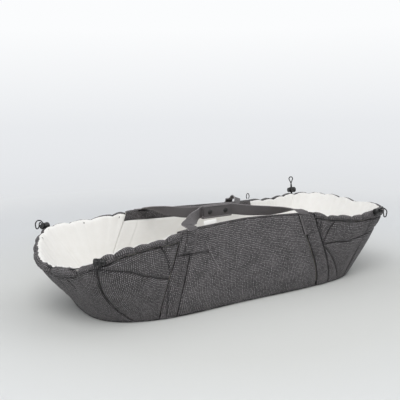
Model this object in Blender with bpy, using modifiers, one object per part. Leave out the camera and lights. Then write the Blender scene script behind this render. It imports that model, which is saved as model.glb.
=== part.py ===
"""Baby sleep carrier: a soft carrycot with two gathered ends, webbing handles and drawcord locks.

Metres, +Z up. The origin is the middle of the underside. +X runs toward the foot end and
-Y is the near side. The walls are one smooth surface, cut into sewn panels at its seams.

The place along the wall is a seam number that goes once round the carrier:
    0 middle of the near side    4 foot tip    8 middle of the far side    12 head tip
    1 and 2 edges of a carry band, 3 the drawcord's way out; the other quarters mirror this.
"""

import math

import bmesh
import bpy
import numpy as np
from mathutils import Matrix, Vector

# Overall sizes
FOOT_RIM_LENGTH = 0.413
HEAD_RIM_LENGTH = 0.414
RIM_WAIST = 0.105
RIM_SWELL = 0.071
RIM_SWELL_REACH = 0.40
BASE_LENGTH = 0.325
BASE_WIDTH = 0.129
HEAD_BASE_SWELL = 0.014
HEAD_BASE_REACH = 0.26

# Roundness of each end: exponents of the outline along X and across. The head closes to a blunt bow
FOOT_ROUNDNESS = (4.0, 4.0)
HEAD_RIM_ROUNDNESS = (9.7, 1.15)
HEAD_BASE_ROUNDNESS = (3.6, 3.0)

# Places of the seams along X, at the rim and at the base, for seam numbers 0 to 4
FOOT_RIM_SEAMS = (0.0, 0.132, 0.165, 0.328)
FOOT_BASE_SEAMS = (0.0, 0.176, 0.212, 0.272)
HEAD_RIM_SEAMS = (0.0, 0.132, 0.165, 0.345)
HEAD_BASE_SEAMS = (0.0, 0.180, 0.217, 0.264)
RING = 16.0

# Height of the rim over the floor at seam numbers, as the gathered cloth stands
RIM_HEIGHTS = (
    (0.0, 0.1730), (1.0, 0.1705), (2.0, 0.1685), (2.5, 0.1560), (3.0, 0.1590),
    (4.0, 0.1540), (5.0, 0.1600), (5.5, 0.1560), (6.0, 0.1605), (7.0, 0.1630),
    (8.0, 0.1700), (9.0, 0.1705), (10.0, 0.1680), (10.5, 0.1570), (11.0, 0.1490),
    (11.5, 0.1340), (12.0, 0.1200), (12.5, 0.1225), (13.0, 0.1400), (13.25, 0.1560),
    (13.5, 0.1640), (14.0, 0.1680), (15.0, 0.1700),
)

# Wall layers, as depths from the outer face
CLOTH = 0.0030
LAYER_GAP = 0.0010
FOAM = 0.0050
LINING = 0.0024
FOAM_DEPTH = CLOTH + LAYER_GAP
LINING_DEPTH = FOAM_DEPTH + FOAM + LAYER_GAP
WALL = LINING_DEPTH + LINING
BAND_RAISE = 0.0012
SEAM_GAP = 0.0005
PIECE_GAP = 0.0005
WALL_ROWS = (0.0, 0.23, 0.48, 0.72)
LOW_BULGE = 0.016
HIGH_BULGE = 0.007
FOAM_LOW = 0.26
LINING_LOW = 0.36

# Gathers of the drawcord casing
PUFFS_A_SEAM = 4
PUCKER = 0.0020
CASING_HEIGHT = 0.0190
CASING_DEPTH = 0.0040
CASING_HALF = 0.0056
CASING_WALL = 0.0012
CASING_PINCH = 0.12
CASING_SIDES = 6

# Floor of the carrier
UNDERSIDE = 0.0030
BOARD = 0.0030
FLOOR_LINING = 0.0020
MATTRESS_INSET = 0.024
MATTRESS_EDGE = 0.018
MATTRESS_CROWN = 0.006
MATTRESS_DRAW_IN = 0.30

# Facing folded over the rim of a side panel
FACING_DROP = 0.022
FACING = 0.0024

# Drawcord and its locks
CORD = 0.0025
LEG_SPREAD = 0.0020
LOOP_RADIUS = 0.0054
CORD_BEND = 0.0052
EYELET_RADIUS = 0.0043
LOCK_TRAVEL = 0.003
LOCK_RADIUS = 0.0070
LOCK_BORE = 0.0052
LOCK_ENDS = (-0.0095, 0.0065)
LOCK_FLOOR = 0.0013
LOCK_SLOT_HALF = (0.0036, 0.00325)
CORD_SEAT = 0.00155
BUTTON_RADIUS = 0.0049
BUTTON_HEAD = 0.0060
BUTTON_FOOT = -0.0026
BUTTON_REACH = (0.0097, 0.0122)
BUTTON_SLOT = (-0.0001, 0.0062)
SPRING_TURNS = 3.0
SPRING_WIRE = 0.00055
SPRING_RADIUS = 0.0036
SPRING_ENDS = (-0.0077, -0.0032)
POINTS_A_TURN = 8
LOCK_SIDES = 14

# Handles
WEBBING_WIDTH = 0.024
WEBBING = 0.0018
PATCH_DROP = 0.046
PATCH_EASE = 0.0004
NEAR_ENDS = (-0.138, 0.140)
FAR_ENDS = (-0.132, 0.105)
STRAP_LIFT = 0.0024
STRAP_LEAD = 0.013
STRAP_START_GAP = 0.0022
STRAP_STEPS = 44
WRAP_SPAN = (-0.050, 0.026)
WRAP_HEIGHT = 0.031
WRAP_THICK = 0.010
WRAP_WALL = 0.0026
WRAP_PLACE = (-0.0105, 0.1740)
HANDLES_APART = 0.0030
FLAP = 0.0022
FLAP_HEIGHT = 0.027
SNAP_SPACING = 0.040
SNAP_CAP = 0.0055
SNAP_HOLE = 0.0042

# Places that each handle passes between its rim and the wrap, and its roll from flat to on edge
NEAR_RISE = ((-0.126, -0.084, 0.1755), (-0.100, -0.052, 0.1760), (-0.073, -0.024, 0.1750))
NEAR_FALL = ((0.072, -0.016, 0.1740), (0.110, -0.046, 0.1745), (0.134, -0.084, 0.1760))
FAR_RISE = ((-0.128, 0.080, 0.1770), (-0.108, 0.044, 0.1760), (-0.082, 0.012, 0.1745))
FAR_FALL = ((0.050, 0.010, 0.1750), (0.076, 0.042, 0.1800), (0.099, 0.078, 0.1800))
STRAP_ROLLS = (0.0, 4.0, 24.0, 66.0, 90.0, 90.0, 90.0, 90.0, 90.0, 114.0, 156.0, 176.0, 180.0)

# Sewn-in label and the cord end seen at the far panel
LABEL_PLACE = -0.080
LABEL_SIZE = (0.032, 0.022, 0.0007)
LABEL_SUNK = 0.014
LABEL_LEAN = 0.004
END_LOOP_HEIGHT = 0.014
END_LOOP_HALF = 0.0052
END_LOOP_CORD = 0.002

COLOURS = {
    "cloth": ((0.070, 0.068, 0.070), 0.92),
    "band": ((0.060, 0.058, 0.060), 0.90),
    "lining": ((0.780, 0.765, 0.700), 0.88),
    "foam": ((0.700, 0.690, 0.640), 0.95),
    "webbing": ((0.055, 0.054, 0.055), 0.80),
    "board": ((0.120, 0.120, 0.125), 0.60),
    "plastic": ((0.012, 0.012, 0.012), 0.38),
    "cord": ((0.015, 0.015, 0.016), 0.75),
    "metal": ((0.560, 0.560, 0.570), 0.30),
    "label": ((0.850, 0.850, 0.830), 0.75),
}


def clear_scene():
    for obj in list(bpy.data.objects):
        bpy.data.objects.remove(obj, do_unlink=True)


def new_collection(name):
    collection = bpy.data.collections.new(name)
    bpy.context.scene.collection.children.link(collection)
    return collection


def material_of(name):
    """One Principled material for each of the carrier's stuffs."""
    found = bpy.data.materials.get(name)
    if found:
        return found
    colour, roughness = COLOURS[name]
    made = bpy.data.materials.new(name)
    made.use_nodes = True
    shader = made.node_tree.nodes["Principled BSDF"]
    shader.inputs["Base Color"].default_value = (*colour, 1.0)
    shader.inputs["Roughness"].default_value = roughness
    shader.inputs["Metallic"].default_value = 1.0 if name == "metal" else 0.0
    return made


# The wall surface


class Quarter:
    """A quarter outline from the middle of a side to the tip, measured along its length."""

    STEPS = 720

    def __init__(self, length, half_width, roundness, seams):
        angle = np.linspace(math.pi / 2, 0.0, self.STEPS)
        self.x = length * np.cos(angle).clip(0) ** (2.0 / roundness[0])
        self.x[0] = 0.0
        self.y = half_width(self.x) * np.sin(angle).clip(0) ** (2.0 / roundness[1])
        self.arc = np.concatenate([[0.0], np.cumsum(np.hypot(np.diff(self.x), np.diff(self.y)))])
        self.marks = [float(np.interp(x, self.x, self.arc)) for x in seams] + [float(self.arc[-1])]

    def at(self, seam):
        """The outline's point at a seam number from 0 to 4."""
        arc = np.interp(seam, range(len(self.marks)), self.marks)
        return float(np.interp(arc, self.arc, self.x)), float(np.interp(arc, self.arc, self.y))


def rim_half_width(x):
    return RIM_WAIST + RIM_SWELL * (1.0 - np.cos(math.pi * x / RIM_SWELL_REACH)) / 2.0


def foot_base_half_width(x):
    return np.full_like(x, BASE_WIDTH)


def head_base_half_width(x):
    return BASE_WIDTH + HEAD_BASE_SWELL * (1.0 - np.cos(math.pi * x / HEAD_BASE_REACH)) / 2.0


RIMS = {
    "foot": Quarter(FOOT_RIM_LENGTH, rim_half_width, FOOT_ROUNDNESS, FOOT_RIM_SEAMS),
    "head": Quarter(HEAD_RIM_LENGTH, rim_half_width, HEAD_RIM_ROUNDNESS, HEAD_RIM_SEAMS),
}
BASES = {
    "foot": Quarter(BASE_LENGTH, foot_base_half_width, FOOT_ROUNDNESS, FOOT_BASE_SEAMS),
    "head": Quarter(BASE_LENGTH, head_base_half_width, HEAD_BASE_ROUNDNESS, HEAD_BASE_SEAMS),
}


def plan_point(outlines, seam):
    """The outline's plan point at any seam number, from the quarter that holds it."""
    seam %= RING
    quarter, along = divmod(seam, 4.0)
    end = "foot" if quarter < 2 else "head"
    x, y = outlines[end].at(along if quarter in (0, 2) else 4.0 - along)
    side_x = 1.0 if end == "foot" else -1.0
    side_y = -1.0 if quarter in (0, 3) else 1.0
    return Vector((side_x * x, side_y * y, 0.0))


def rim_height(seam):
    """A smooth curve through the rim's heights, closed round the carrier."""
    seam %= RING
    places = [place for place, _ in RIM_HEIGHTS]
    heights = [height for _, height in RIM_HEIGHTS]
    count = len(places)
    low = max(i for i in range(count) if places[i] <= seam + 1e-9)

    def knot(i):
        return places[i % count] + RING * (i // count), heights[i % count]

    (x0, y0), (x1, y1), (x2, y2), (x3, y3) = (knot(low + step) for step in (-1, 0, 1, 2))
    span = x2 - x1
    t = (seam - x1) / span
    slope1 = (y2 - y0) / (x2 - x0) * span
    slope2 = (y3 - y1) / (x3 - x1) * span
    return (
        (2 * t**3 - 3 * t**2 + 1) * y1
        + (t**3 - 2 * t**2 + t) * slope1
        + (3 * t**2 - 2 * t**3) * y2
        + (t**3 - t**2) * slope2
    )


def plan_normal(outlines, seam):
    """Outward in plan, square to the outline."""
    ahead = plan_point(outlines, seam + 0.02) - plan_point(outlines, seam - 0.02)
    return Vector((ahead.y, -ahead.x, 0.0)).normalized()


def wall_curve(seam):
    """The four control points of the wall's section, from the bottom seam to the rim."""
    low = plan_point(BASES, seam) + Vector((0.0, 0.0, UNDERSIDE + PIECE_GAP))
    top = plan_point(RIMS, seam) + Vector((0.0, 0.0, rim_height(seam)))
    rise = top.z - low.z
    swell = plan_normal(BASES, seam) * LOW_BULGE
    low_handle = low + swell + Vector((0.0, 0.0, 0.24 * rise))
    high_handle = low.lerp(top, 0.62) + plan_normal(RIMS, seam) * HIGH_BULGE
    return low, low_handle, high_handle, top


def wall_point(seam, rise):
    """The outer face at a seam number, at a share of the wall's height from 0 to 1."""
    a, b, c, d = wall_curve(seam)
    s = 1.0 - rise
    return a * s**3 + b * 3 * s * s * rise + c * 3 * s * rise * rise + d * rise**3


def wall_frame(seam, rise):
    """The point on the outer face, and the directions along the seams, up the wall and out."""
    here = wall_point(seam, rise)
    along = (wall_point(seam + 0.02, rise) - wall_point(seam - 0.02, rise)).normalized()
    upper, lower = min(rise + 0.01, 1.0), max(rise - 0.01, 0.0)
    up = (wall_point(seam, upper) - wall_point(seam, lower)).normalized()
    out = along.cross(up).normalized()
    return here, along, up, out


def rise_below_rim(seam, distance):
    """The share of the wall's height that lies this far below the rim, along the wall."""
    low, high = 0.5, 1.0
    top = wall_point(seam, 1.0)
    for _ in range(24):
        middle = (low + high) / 2
        if (top - wall_point(seam, middle)).length > distance:
            low = middle
        else:
            high = middle
    return high


def is_gathered(seam):
    return 2.0 < seam % 8.0 < 6.0


def pucker(seam, rise):
    """How far the gathered cloth stands out between two valleys of its casing."""
    if not is_gathered(seam):
        return 0.0
    return PUCKER * abs(math.sin(math.pi * PUFFS_A_SEAM * seam)) * rise**1.5


def layer_point(seam, rise, depth, puckered=False):
    here, _, _, out = wall_frame(seam, rise)
    return here - out * (depth - (pucker(seam, rise) if puckered else 0.0))


def below_rim(seam, distance, depth):
    """A point this far below the rim, measured along the wall, and this deep in the wall."""
    return layer_point(seam, rise_below_rim(seam, distance) if distance else 1.0, depth)


def stations(first, last, parts_gathered=2 * PUFFS_A_SEAM):
    """Seam numbers of the columns between two seams, the same ones for every layer."""
    found = []
    for whole in range(int(math.floor(first)), int(math.ceil(last))):
        parts = parts_gathered if is_gathered(whole + 0.5) else (2 if whole % 8 in (1, 6) else 5)
        found += [whole + i / parts for i in range(parts)]
    found = [place for place in found if first - 1e-9 <= place < last - 1e-9] + [last]
    return found


# Mesh builders


def face_outward(bm):
    bmesh.ops.recalc_face_normals(bm, faces=bm.faces)
    if bm.calc_volume(signed=True) < 0:
        bmesh.ops.reverse_faces(bm, faces=bm.faces)


def object_from(bm, name, stuff, smooth=40.0):
    face_outward(bm)
    mesh = bpy.data.meshes.new(name)
    bm.to_mesh(mesh)
    bm.free()
    mesh.materials.append(material_of(stuff))
    mesh.shade_smooth()
    mesh.set_sharp_from_angle(angle=math.radians(smooth))
    obj = bpy.data.objects.new(name, mesh)
    PARTS.objects.link(obj)
    return obj


def slab(name, stuff, columns, rows, place):
    """A sheet of columns by rows given thickness, each corner put where place(u, v, layer) says."""
    bm = bmesh.new()
    bmesh.ops.create_grid(bm, x_segments=columns, y_segments=rows, size=0.5)
    bmesh.ops.triangulate(bm, faces=bm.faces, quad_method="FIXED")
    lifted = bmesh.ops.extrude_face_region(bm, geom=bm.faces[:])
    upper = [v for v in lifted["geom"] if isinstance(v, bmesh.types.BMVert)]
    bmesh.ops.translate(bm, verts=upper, vec=(0.0, 0.0, 1.0))
    for vert in bm.verts:
        u, v, layer = vert.co.x + 0.5, vert.co.y + 0.5, vert.co.z
        vert.co = place(min(max(u, 0.0), 1.0), min(max(v, 0.0), 1.0), round(layer))
    return object_from(bm, name, stuff)


def wall_slab(name, stuff, first, last, depth, thick, top=0.0, bottom=0.0, puckered=False):
    """A layer of the wall between two seams, its ends kept half a seam gap short.

    Every layer has its rows at the same heights, so the layers' flat facets lie side by side.
    """
    places = stations(first, last)
    rows = len(WALL_ROWS)

    def place(u, v, layer):
        seam = float(np.interp(u * (len(places) - 1), range(len(places)), places))
        highest = rise_below_rim(seam, top) if top else 1.0
        row = round(v * rows)
        rise = (WALL_ROWS + (highest,))[row]
        at = layer_point(seam, rise, depth + thick * layer, puckered)
        if row == 0 and bottom:
            above = layer_point(seam, WALL_ROWS[1], depth + thick * layer, puckered)
            at = at.lerp(above, bottom)
        along = wall_frame(seam, rise)[1]
        return at + along * (SEAM_GAP * ((u < 1e-6) - (u > 1 - 1e-6)))

    return slab(name, stuff, len(places) - 1, rows, place)


def loft(name, stuff, rings, smooth=40.0):
    """A solid through rings of equally many points, its two end rings filled."""
    bm = bmesh.new()
    loops = [[bm.verts.new(point) for point in ring] for ring in rings]
    count = len(loops[0])
    for lower, upper in zip(loops, loops[1:]):
        for i in range(count):
            j = (i + 1) % count
            bm.faces.new((lower[i], lower[j], upper[j], upper[i]))
    bm.faces.new(loops[0][::-1])
    bm.faces.new(loops[-1])
    bmesh.ops.triangulate(bm, faces=[f for f in bm.faces if len(f.verts) > 4])
    return object_from(bm, name, stuff, smooth)


def turned(name, stuff, profile, sides, link=True):
    """A profile of radius and height, listed from the top of its axis down its outer side."""
    bm = bmesh.new()
    verts = [bm.verts.new((radius, 0.0, height)) for radius, height in profile]
    for pair in zip(verts, verts[1:]):
        bm.edges.new(pair)
    mesh = bpy.data.meshes.new(name)
    bm.to_mesh(mesh)
    bm.free()
    mesh.materials.append(material_of(stuff))
    obj = bpy.data.objects.new(name, mesh)
    (PARTS if link else CUTTERS).objects.link(obj)
    screw = obj.modifiers.new("turn", "SCREW")
    screw.steps = screw.render_steps = sides
    screw.use_merge_vertices = True
    screw.merge_threshold = 0.00001
    screw.use_smooth_shade = True
    return obj


def baked(obj):
    """The object with its modifiers worked into its mesh."""
    depsgraph = bpy.context.evaluated_depsgraph_get()
    mesh = bpy.data.meshes.new_from_object(obj.evaluated_get(depsgraph))
    bm = bmesh.new()
    bm.from_mesh(mesh)
    bmesh.ops.remove_doubles(bm, verts=bm.verts, dist=0.000001)
    face_outward(bm)
    bm.to_mesh(mesh)
    bm.free()
    obj.modifiers.clear()
    obj.data = mesh
    mesh.name = obj.name
    return obj


def tube(name, stuff, points, radius, detail=2):
    """A round cord along points, as a mesh with welded caps."""
    curve = bpy.data.curves.new(name, "CURVE")
    curve.dimensions = "3D"
    curve.bevel_depth = radius
    curve.bevel_resolution = detail
    curve.use_fill_caps = True
    spline = curve.splines.new("POLY")
    spline.points.add(len(points) - 1)
    for place, point in zip(spline.points, points):
        place.co = (*point, 1.0)
    curve.materials.append(material_of(stuff))
    guide = bpy.data.objects.new(name + "_guide", curve)
    CUTTERS.objects.link(guide)
    depsgraph = bpy.context.evaluated_depsgraph_get()
    mesh = bpy.data.meshes.new_from_object(guide.evaluated_get(depsgraph))
    bm = bmesh.new()
    bm.from_mesh(mesh)
    bmesh.ops.remove_doubles(bm, verts=bm.verts, dist=0.000001)
    face_outward(bm)
    bm.to_mesh(mesh)
    bm.free()
    obj = bpy.data.objects.new(name, mesh)
    obj.matrix_world = guide.matrix_world
    PARTS.objects.link(obj)
    bpy.data.objects.remove(guide, do_unlink=True)
    mesh.name = name
    mesh.shade_smooth()
    return obj


def cutter_box(name, centre, size, frame=None):
    bm = bmesh.new()
    bmesh.ops.create_cube(bm, size=1.0)
    bmesh.ops.scale(bm, vec=size, verts=bm.verts)
    return cutter(bm, name, (frame or Matrix()) @ Matrix.Translation(centre))


def cutter_rod(name, radius, depth, frame, sides=12):
    """A rod along the frame's Z, from its origin upward."""
    bm = bmesh.new()
    bmesh.ops.create_cone(
        bm, cap_ends=True, segments=sides, radius1=radius, radius2=radius, depth=depth
    )
    return cutter(bm, name, frame @ Matrix.Translation((0.0, 0.0, depth / 2)))


def cutter(bm, name, frame):
    mesh = bpy.data.meshes.new(name)
    bmesh.ops.transform(bm, matrix=frame, verts=bm.verts)
    face_outward(bm)
    bm.to_mesh(mesh)
    bm.free()
    obj = bpy.data.objects.new(name, mesh)
    obj.hide_render = True
    obj.display_type = "WIRE"
    CUTTERS.objects.link(obj)
    return obj


def cut(obj, tools):
    for tool in tools:
        boolean = obj.modifiers.new(tool.name, "BOOLEAN")
        boolean.operation = "DIFFERENCE"
        boolean.solver = "EXACT"
        boolean.object = tool
    return baked(obj)


def pivot_at(obj, point):
    """Moves the object's origin to a point on its joint's axis, and leaves the mesh in place."""
    obj.data.transform(Matrix.Translation(-Vector(point)))
    obj.location = point
    return obj


# Floor


def outline_curve(name, stuff, inset, low, thick):
    """A flat piece with the base's outline, drawn in by inset, as a filled curve."""
    steps = 64
    curve = bpy.data.curves.new(name, "CURVE")
    curve.dimensions = "2D"
    curve.fill_mode = "BOTH"
    curve.extrude = thick / 2
    spline = curve.splines.new("POLY")
    spline.points.add(steps - 1)
    spline.use_cyclic_u = True
    for i, place in enumerate(spline.points):
        seam = RING * i / steps
        point = plan_point(BASES, seam) - plan_normal(BASES, seam) * inset
        place.co = (point.x, point.y, 0.0, 1.0)
    curve.materials.append(material_of(stuff))
    obj = bpy.data.objects.new(name, curve)
    obj.location = (0.0, 0.0, low + thick / 2)
    PARTS.objects.link(obj)
    return obj


def make_floor():
    """Underside, stiff board and floor lining, one over the other."""
    outline_curve("bottom_panel", "cloth", 0.0, 0.0, UNDERSIDE)
    low = UNDERSIDE + PIECE_GAP
    outline_curve("base_board", "board", WALL + 0.003, low, BOARD)
    low += BOARD + PIECE_GAP
    outline_curve("lining_floor", "lining", WALL + 0.001, low, FLOOR_LINING)
    return low + FLOOR_LINING + PIECE_GAP


def make_mattress(low):
    """A cushion with a drawn-in edge, a flat underside and a crown over its middle."""
    bm = bmesh.new()
    bmesh.ops.create_uvsphere(bm, u_segments=48, v_segments=10, radius=1.0)
    half = MATTRESS_EDGE / 2
    for vert in bm.verts:
        flat = math.hypot(vert.co.x, vert.co.y)
        seam = RING * (math.atan2(vert.co.y, vert.co.x) / math.tau + 0.25)
        reach = max(flat, 0.0) ** MATTRESS_DRAW_IN if flat > 1e-6 else 0.0
        edge = plan_point(BASES, seam) - plan_normal(BASES, seam) * MATTRESS_INSET
        level = abs(vert.co.z) ** (2 * MATTRESS_DRAW_IN) * (1 if vert.co.z > 0 else -1)
        crown = MATTRESS_CROWN * (1 - reach**2) if vert.co.z > 0 else 0.0
        vert.co = (edge.x * reach, edge.y * reach, low + half + half * level + crown)
    floor = min(vert.co.z for vert in bm.verts)
    cut_at = floor + 0.0008
    bmesh.ops.bisect_plane(
        bm, geom=bm.verts[:] + bm.edges[:] + bm.faces[:], plane_co=(0, 0, cut_at),
        plane_no=(0, 0, -1), clear_outer=True,
    )
    bmesh.ops.holes_fill(bm, edges=[e for e in bm.edges if e.is_boundary])
    bmesh.ops.translate(bm, verts=bm.verts, vec=(0.0, 0.0, low - cut_at))
    bmesh.ops.triangulate(bm, faces=[f for f in bm.faces if len(f.verts) > 4])
    mattress = object_from(bm, "mattress", "lining")
    return pivot_at(mattress, (0.0, 0.0, low))


# Walls


def make_walls():
    """Sewn outer panels, the foam behind them and the lining inside."""
    under_casing = CASING_HEIGHT + LAYER_GAP
    under_facing = FACING + LAYER_GAP
    for name, first in (("near_side_panel", -1.0), ("far_side_panel", 7.0)):
        wall_slab(name, "cloth", first, first + 2, 0.0, CLOTH, top=under_facing)
    bands = {"foot_near_band": 1, "foot_far_band": 6, "head_far_band": 9, "head_near_band": 14}
    for name, first in bands.items():
        thick = CLOTH + BAND_RAISE
        wall_slab(name, "band", first, first + 1, -BAND_RAISE, thick, top=under_facing)
    gussets = {
        "foot_near_gusset": (2, 3), "foot_end_cap": (3, 5), "foot_far_gusset": (5, 6),
        "head_far_gusset": (10, 11), "head_end_cap": (11, 13), "head_near_gusset": (13, 14),
    }
    for name, (first, last) in gussets.items():
        wall_slab(name, "cloth", first, last, 0.0, CLOTH, top=under_casing, puckered=True)
    quarters = {"near": (-2, 2), "foot": (2, 6), "far": (6, 10), "head": (10, 14)}
    for side, (first, last) in quarters.items():
        is_end = side in ("foot", "head")
        foam_top = under_casing if is_end else under_facing
        lining_top = 0.003 if is_end else FACING_DROP + LAYER_GAP
        wall_slab("foam_" + side, "foam", first, last, FOAM_DEPTH, FOAM, foam_top, FOAM_LOW)
        wall_slab(
            "lining_" + side, "lining", first, last, LINING_DEPTH, LINING, lining_top, LINING_LOW
        )


def make_facing(name, first, last):
    """The dark hem that folds over the rim of a side and drops down inside it."""
    section = (
        (0.0, 0.0), (WALL, 0.0), (WALL, FACING_DROP), (LINING_DEPTH, FACING_DROP),
        (LINING_DEPTH, FACING), (0.0, FACING),
    )
    rings = []
    places = stations(first, last)
    for index, seam in enumerate(places):
        along = wall_frame(seam, 1.0)[1]
        short = SEAM_GAP * ((index == 0) - (index == len(places) - 1))
        ring = [below_rim(seam, drop, depth) + along * short for depth, drop in section]
        rings.append(ring)
    return loft(name, "band", rings)


def casing_centre(seam):
    top, _, up, out = wall_frame(seam, 1.0)
    return top - up * CASING_HEIGHT / 2 - out * CASING_DEPTH


def make_casing(name, first, last):
    """A gathered tunnel round one end: a puffed tube of cloth, open along its bore."""
    steps = (last - first) * 4 * PUFFS_A_SEAM
    spread = 1.0 / math.cos(math.pi / CASING_SIDES)
    bm = bmesh.new()
    loops = []
    for step in range(steps + 1):
        seam = first + (last - first) * step / steps
        _, along, up, out = wall_frame(seam, 1.0)
        puff = abs(math.sin(math.pi * PUFFS_A_SEAM * seam)) ** 0.7
        fullness = 1.0 - CASING_PINCH * (1.0 - puff)
        short = SEAM_GAP * ((step == 0) - (step == steps))
        centre = casing_centre(seam) + along * short
        half_out = CASING_HALF * fullness * spread
        half_up = CASING_HEIGHT / 2 * fullness
        ring = []
        for side in range(CASING_SIDES):
            angle = math.tau * (side + 0.5) / CASING_SIDES
            offset = out * half_out * math.cos(angle) + up * half_up * math.sin(angle)
            ring.append(bm.verts.new(centre + offset))
        loops.append(ring)
    for lower, upper in zip(loops, loops[1:]):
        for i in range(CASING_SIDES):
            j = (i + 1) % CASING_SIDES
            bm.faces.new((lower[i], lower[j], upper[j], upper[i]))
    casing = object_from(bm, name, "cloth")
    shell = casing.modifiers.new("cloth thickness", "SOLIDIFY")
    shell.thickness = CASING_WALL
    shell.offset = -1.0
    return baked(casing)


# Drawcords and locks


def lock_frame(seam, tilt):
    """Where a lock sits: Z along the rim, X along the cord out of the casing."""
    out = plan_normal(RIMS, seam)
    along = Vector((0.0, 0.0, 1.0)).cross(out).normalized()
    leave = Vector((0.0, 0.0, 1.0)) * math.cos(tilt) + out * math.sin(tilt)
    side = along.cross(leave)
    frame = Matrix((leave, side, along)).transposed().to_4x4()
    frame.translation = casing_centre(seam)
    return frame


# Seam number, lean of the lock from upright, distance of the lock from the bore, loop's hang
LOCKS = {
    "foot_near": (3.0, math.radians(60.0), 0.0080, True),
    "foot_far": (5.0, math.radians(8.0), 0.0100, False),
    "head_far": (11.0, math.radians(50.0), 0.0080, True),
    "head_near": (13.0, math.radians(60.0), 0.0080, True),
}
DROOP_BEND = 0.0072
DROOP_RUN = 0.004
UPRIGHT_RUN = 0.018


def loop_route(tilt, distance, hangs):
    """Centre line of a cord loop in its lock's frame: place, direction and cross-legs direction."""
    straight = distance + 2 * LOCK_RADIUS + LOCK_TRAVEL + 0.0008
    start = Vector((straight, 0.0, 0.0))
    stops = []
    if hangs:
        turn = math.pi - tilt
        steps = 6
        for i in range(steps + 1):
            angle = turn * i / steps
            place = start + Vector((math.sin(angle), 1.0 - math.cos(angle), 0.0)) * DROOP_BEND
            ahead = Vector((math.cos(angle), math.sin(angle), 0.0))
            stops.append((place, ahead))
        place, ahead = stops[-1]
        stops.append((place + ahead * DROOP_RUN, ahead))
    else:
        for i in range(5):
            stops.append((start + Vector((UPRIGHT_RUN * i / 4, 0.0, 0.0)), Vector((1.0, 0.0, 0.0))))
    return stops


def loop_points(tilt, distance, hangs):
    """A lock's cord in its own frame, from the leg that arrives to the leg that goes on."""
    bend = [math.radians(a) for a in (0.0, 30.0, 60.0, 90.0)]
    arrive = [
        Vector((CORD_BEND * (1 - math.cos(a)), LEG_SPREAD, CORD_SEAT - CORD_BEND * (1 - math.sin(a))))
        for a in bend
    ]
    first, last = [], []
    stops = loop_route(tilt, distance, hangs)
    count = len(stops)
    for i, (place, ahead) in enumerate(stops):
        share = i / (count - 1)
        twist = math.pi / 2 * share
        spread = LEG_SPREAD + (LOOP_RADIUS - LEG_SPREAD) * share
        normal = Vector((-ahead.y, ahead.x, 0.0))
        across = normal * math.cos(twist) - Vector((0.0, 0.0, 1.0)) * math.sin(twist)
        middle = place + Vector((0.0, 0.0, CORD_SEAT))
        first.append(middle + across * spread)
        last.append(middle - across * spread)
    place, ahead = stops[-1]
    middle = place + Vector((0.0, 0.0, CORD_SEAT))
    tip = []
    for a in (36.0, 72.0, 108.0, 144.0):
        turn = math.radians(a)
        sideways = Vector((0.0, 0.0, -1.0)) * math.cos(turn)
        tip.append(middle + (sideways + ahead * math.sin(turn)) * LOOP_RADIUS)
    leave = [Vector((p.x, -p.y, 2 * CORD_SEAT - p.z)) for p in reversed(arrive)]
    return arrive + first + tip + last[::-1] + leave


def make_drawcord(name, first, last, locks):
    """One elastic cord through a casing, drawn out as a loop through each of its two locks."""
    points = []
    step = 0.125
    place = first + 0.04
    for seam, tilt, distance, hangs in locks:
        while place < seam - 0.09:
            points.append(casing_centre(place))
            place = math.floor(place / step + 1.0001) * step
        frame = lock_frame(seam, tilt)
        points += [frame @ point for point in loop_points(tilt, distance, hangs)]
        place = seam + step
    while place < last - 0.05:
        points.append(casing_centre(place))
        place += step
    points.append(casing_centre(last - 0.04))
    return tube(name, "cord", points, CORD / 2)


def least_spacing(wind, fine=6):
    """The least distance between a coil's centre line and itself, half a turn or more along it."""
    line = np.array(wind)
    steps = np.linspace(0.0, len(line) - 1.0, fine * (len(line) - 1) + 1)
    dense = np.stack([np.interp(steps, range(len(line)), line[:, axis]) for axis in range(3)], axis=1)
    apart = fine * POINTS_A_TURN // 2
    pairs = np.linalg.norm(dense[:, None] - dense[None, :], axis=2)
    return float(pairs[np.triu_indices(len(dense), k=apart)].min())


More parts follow.
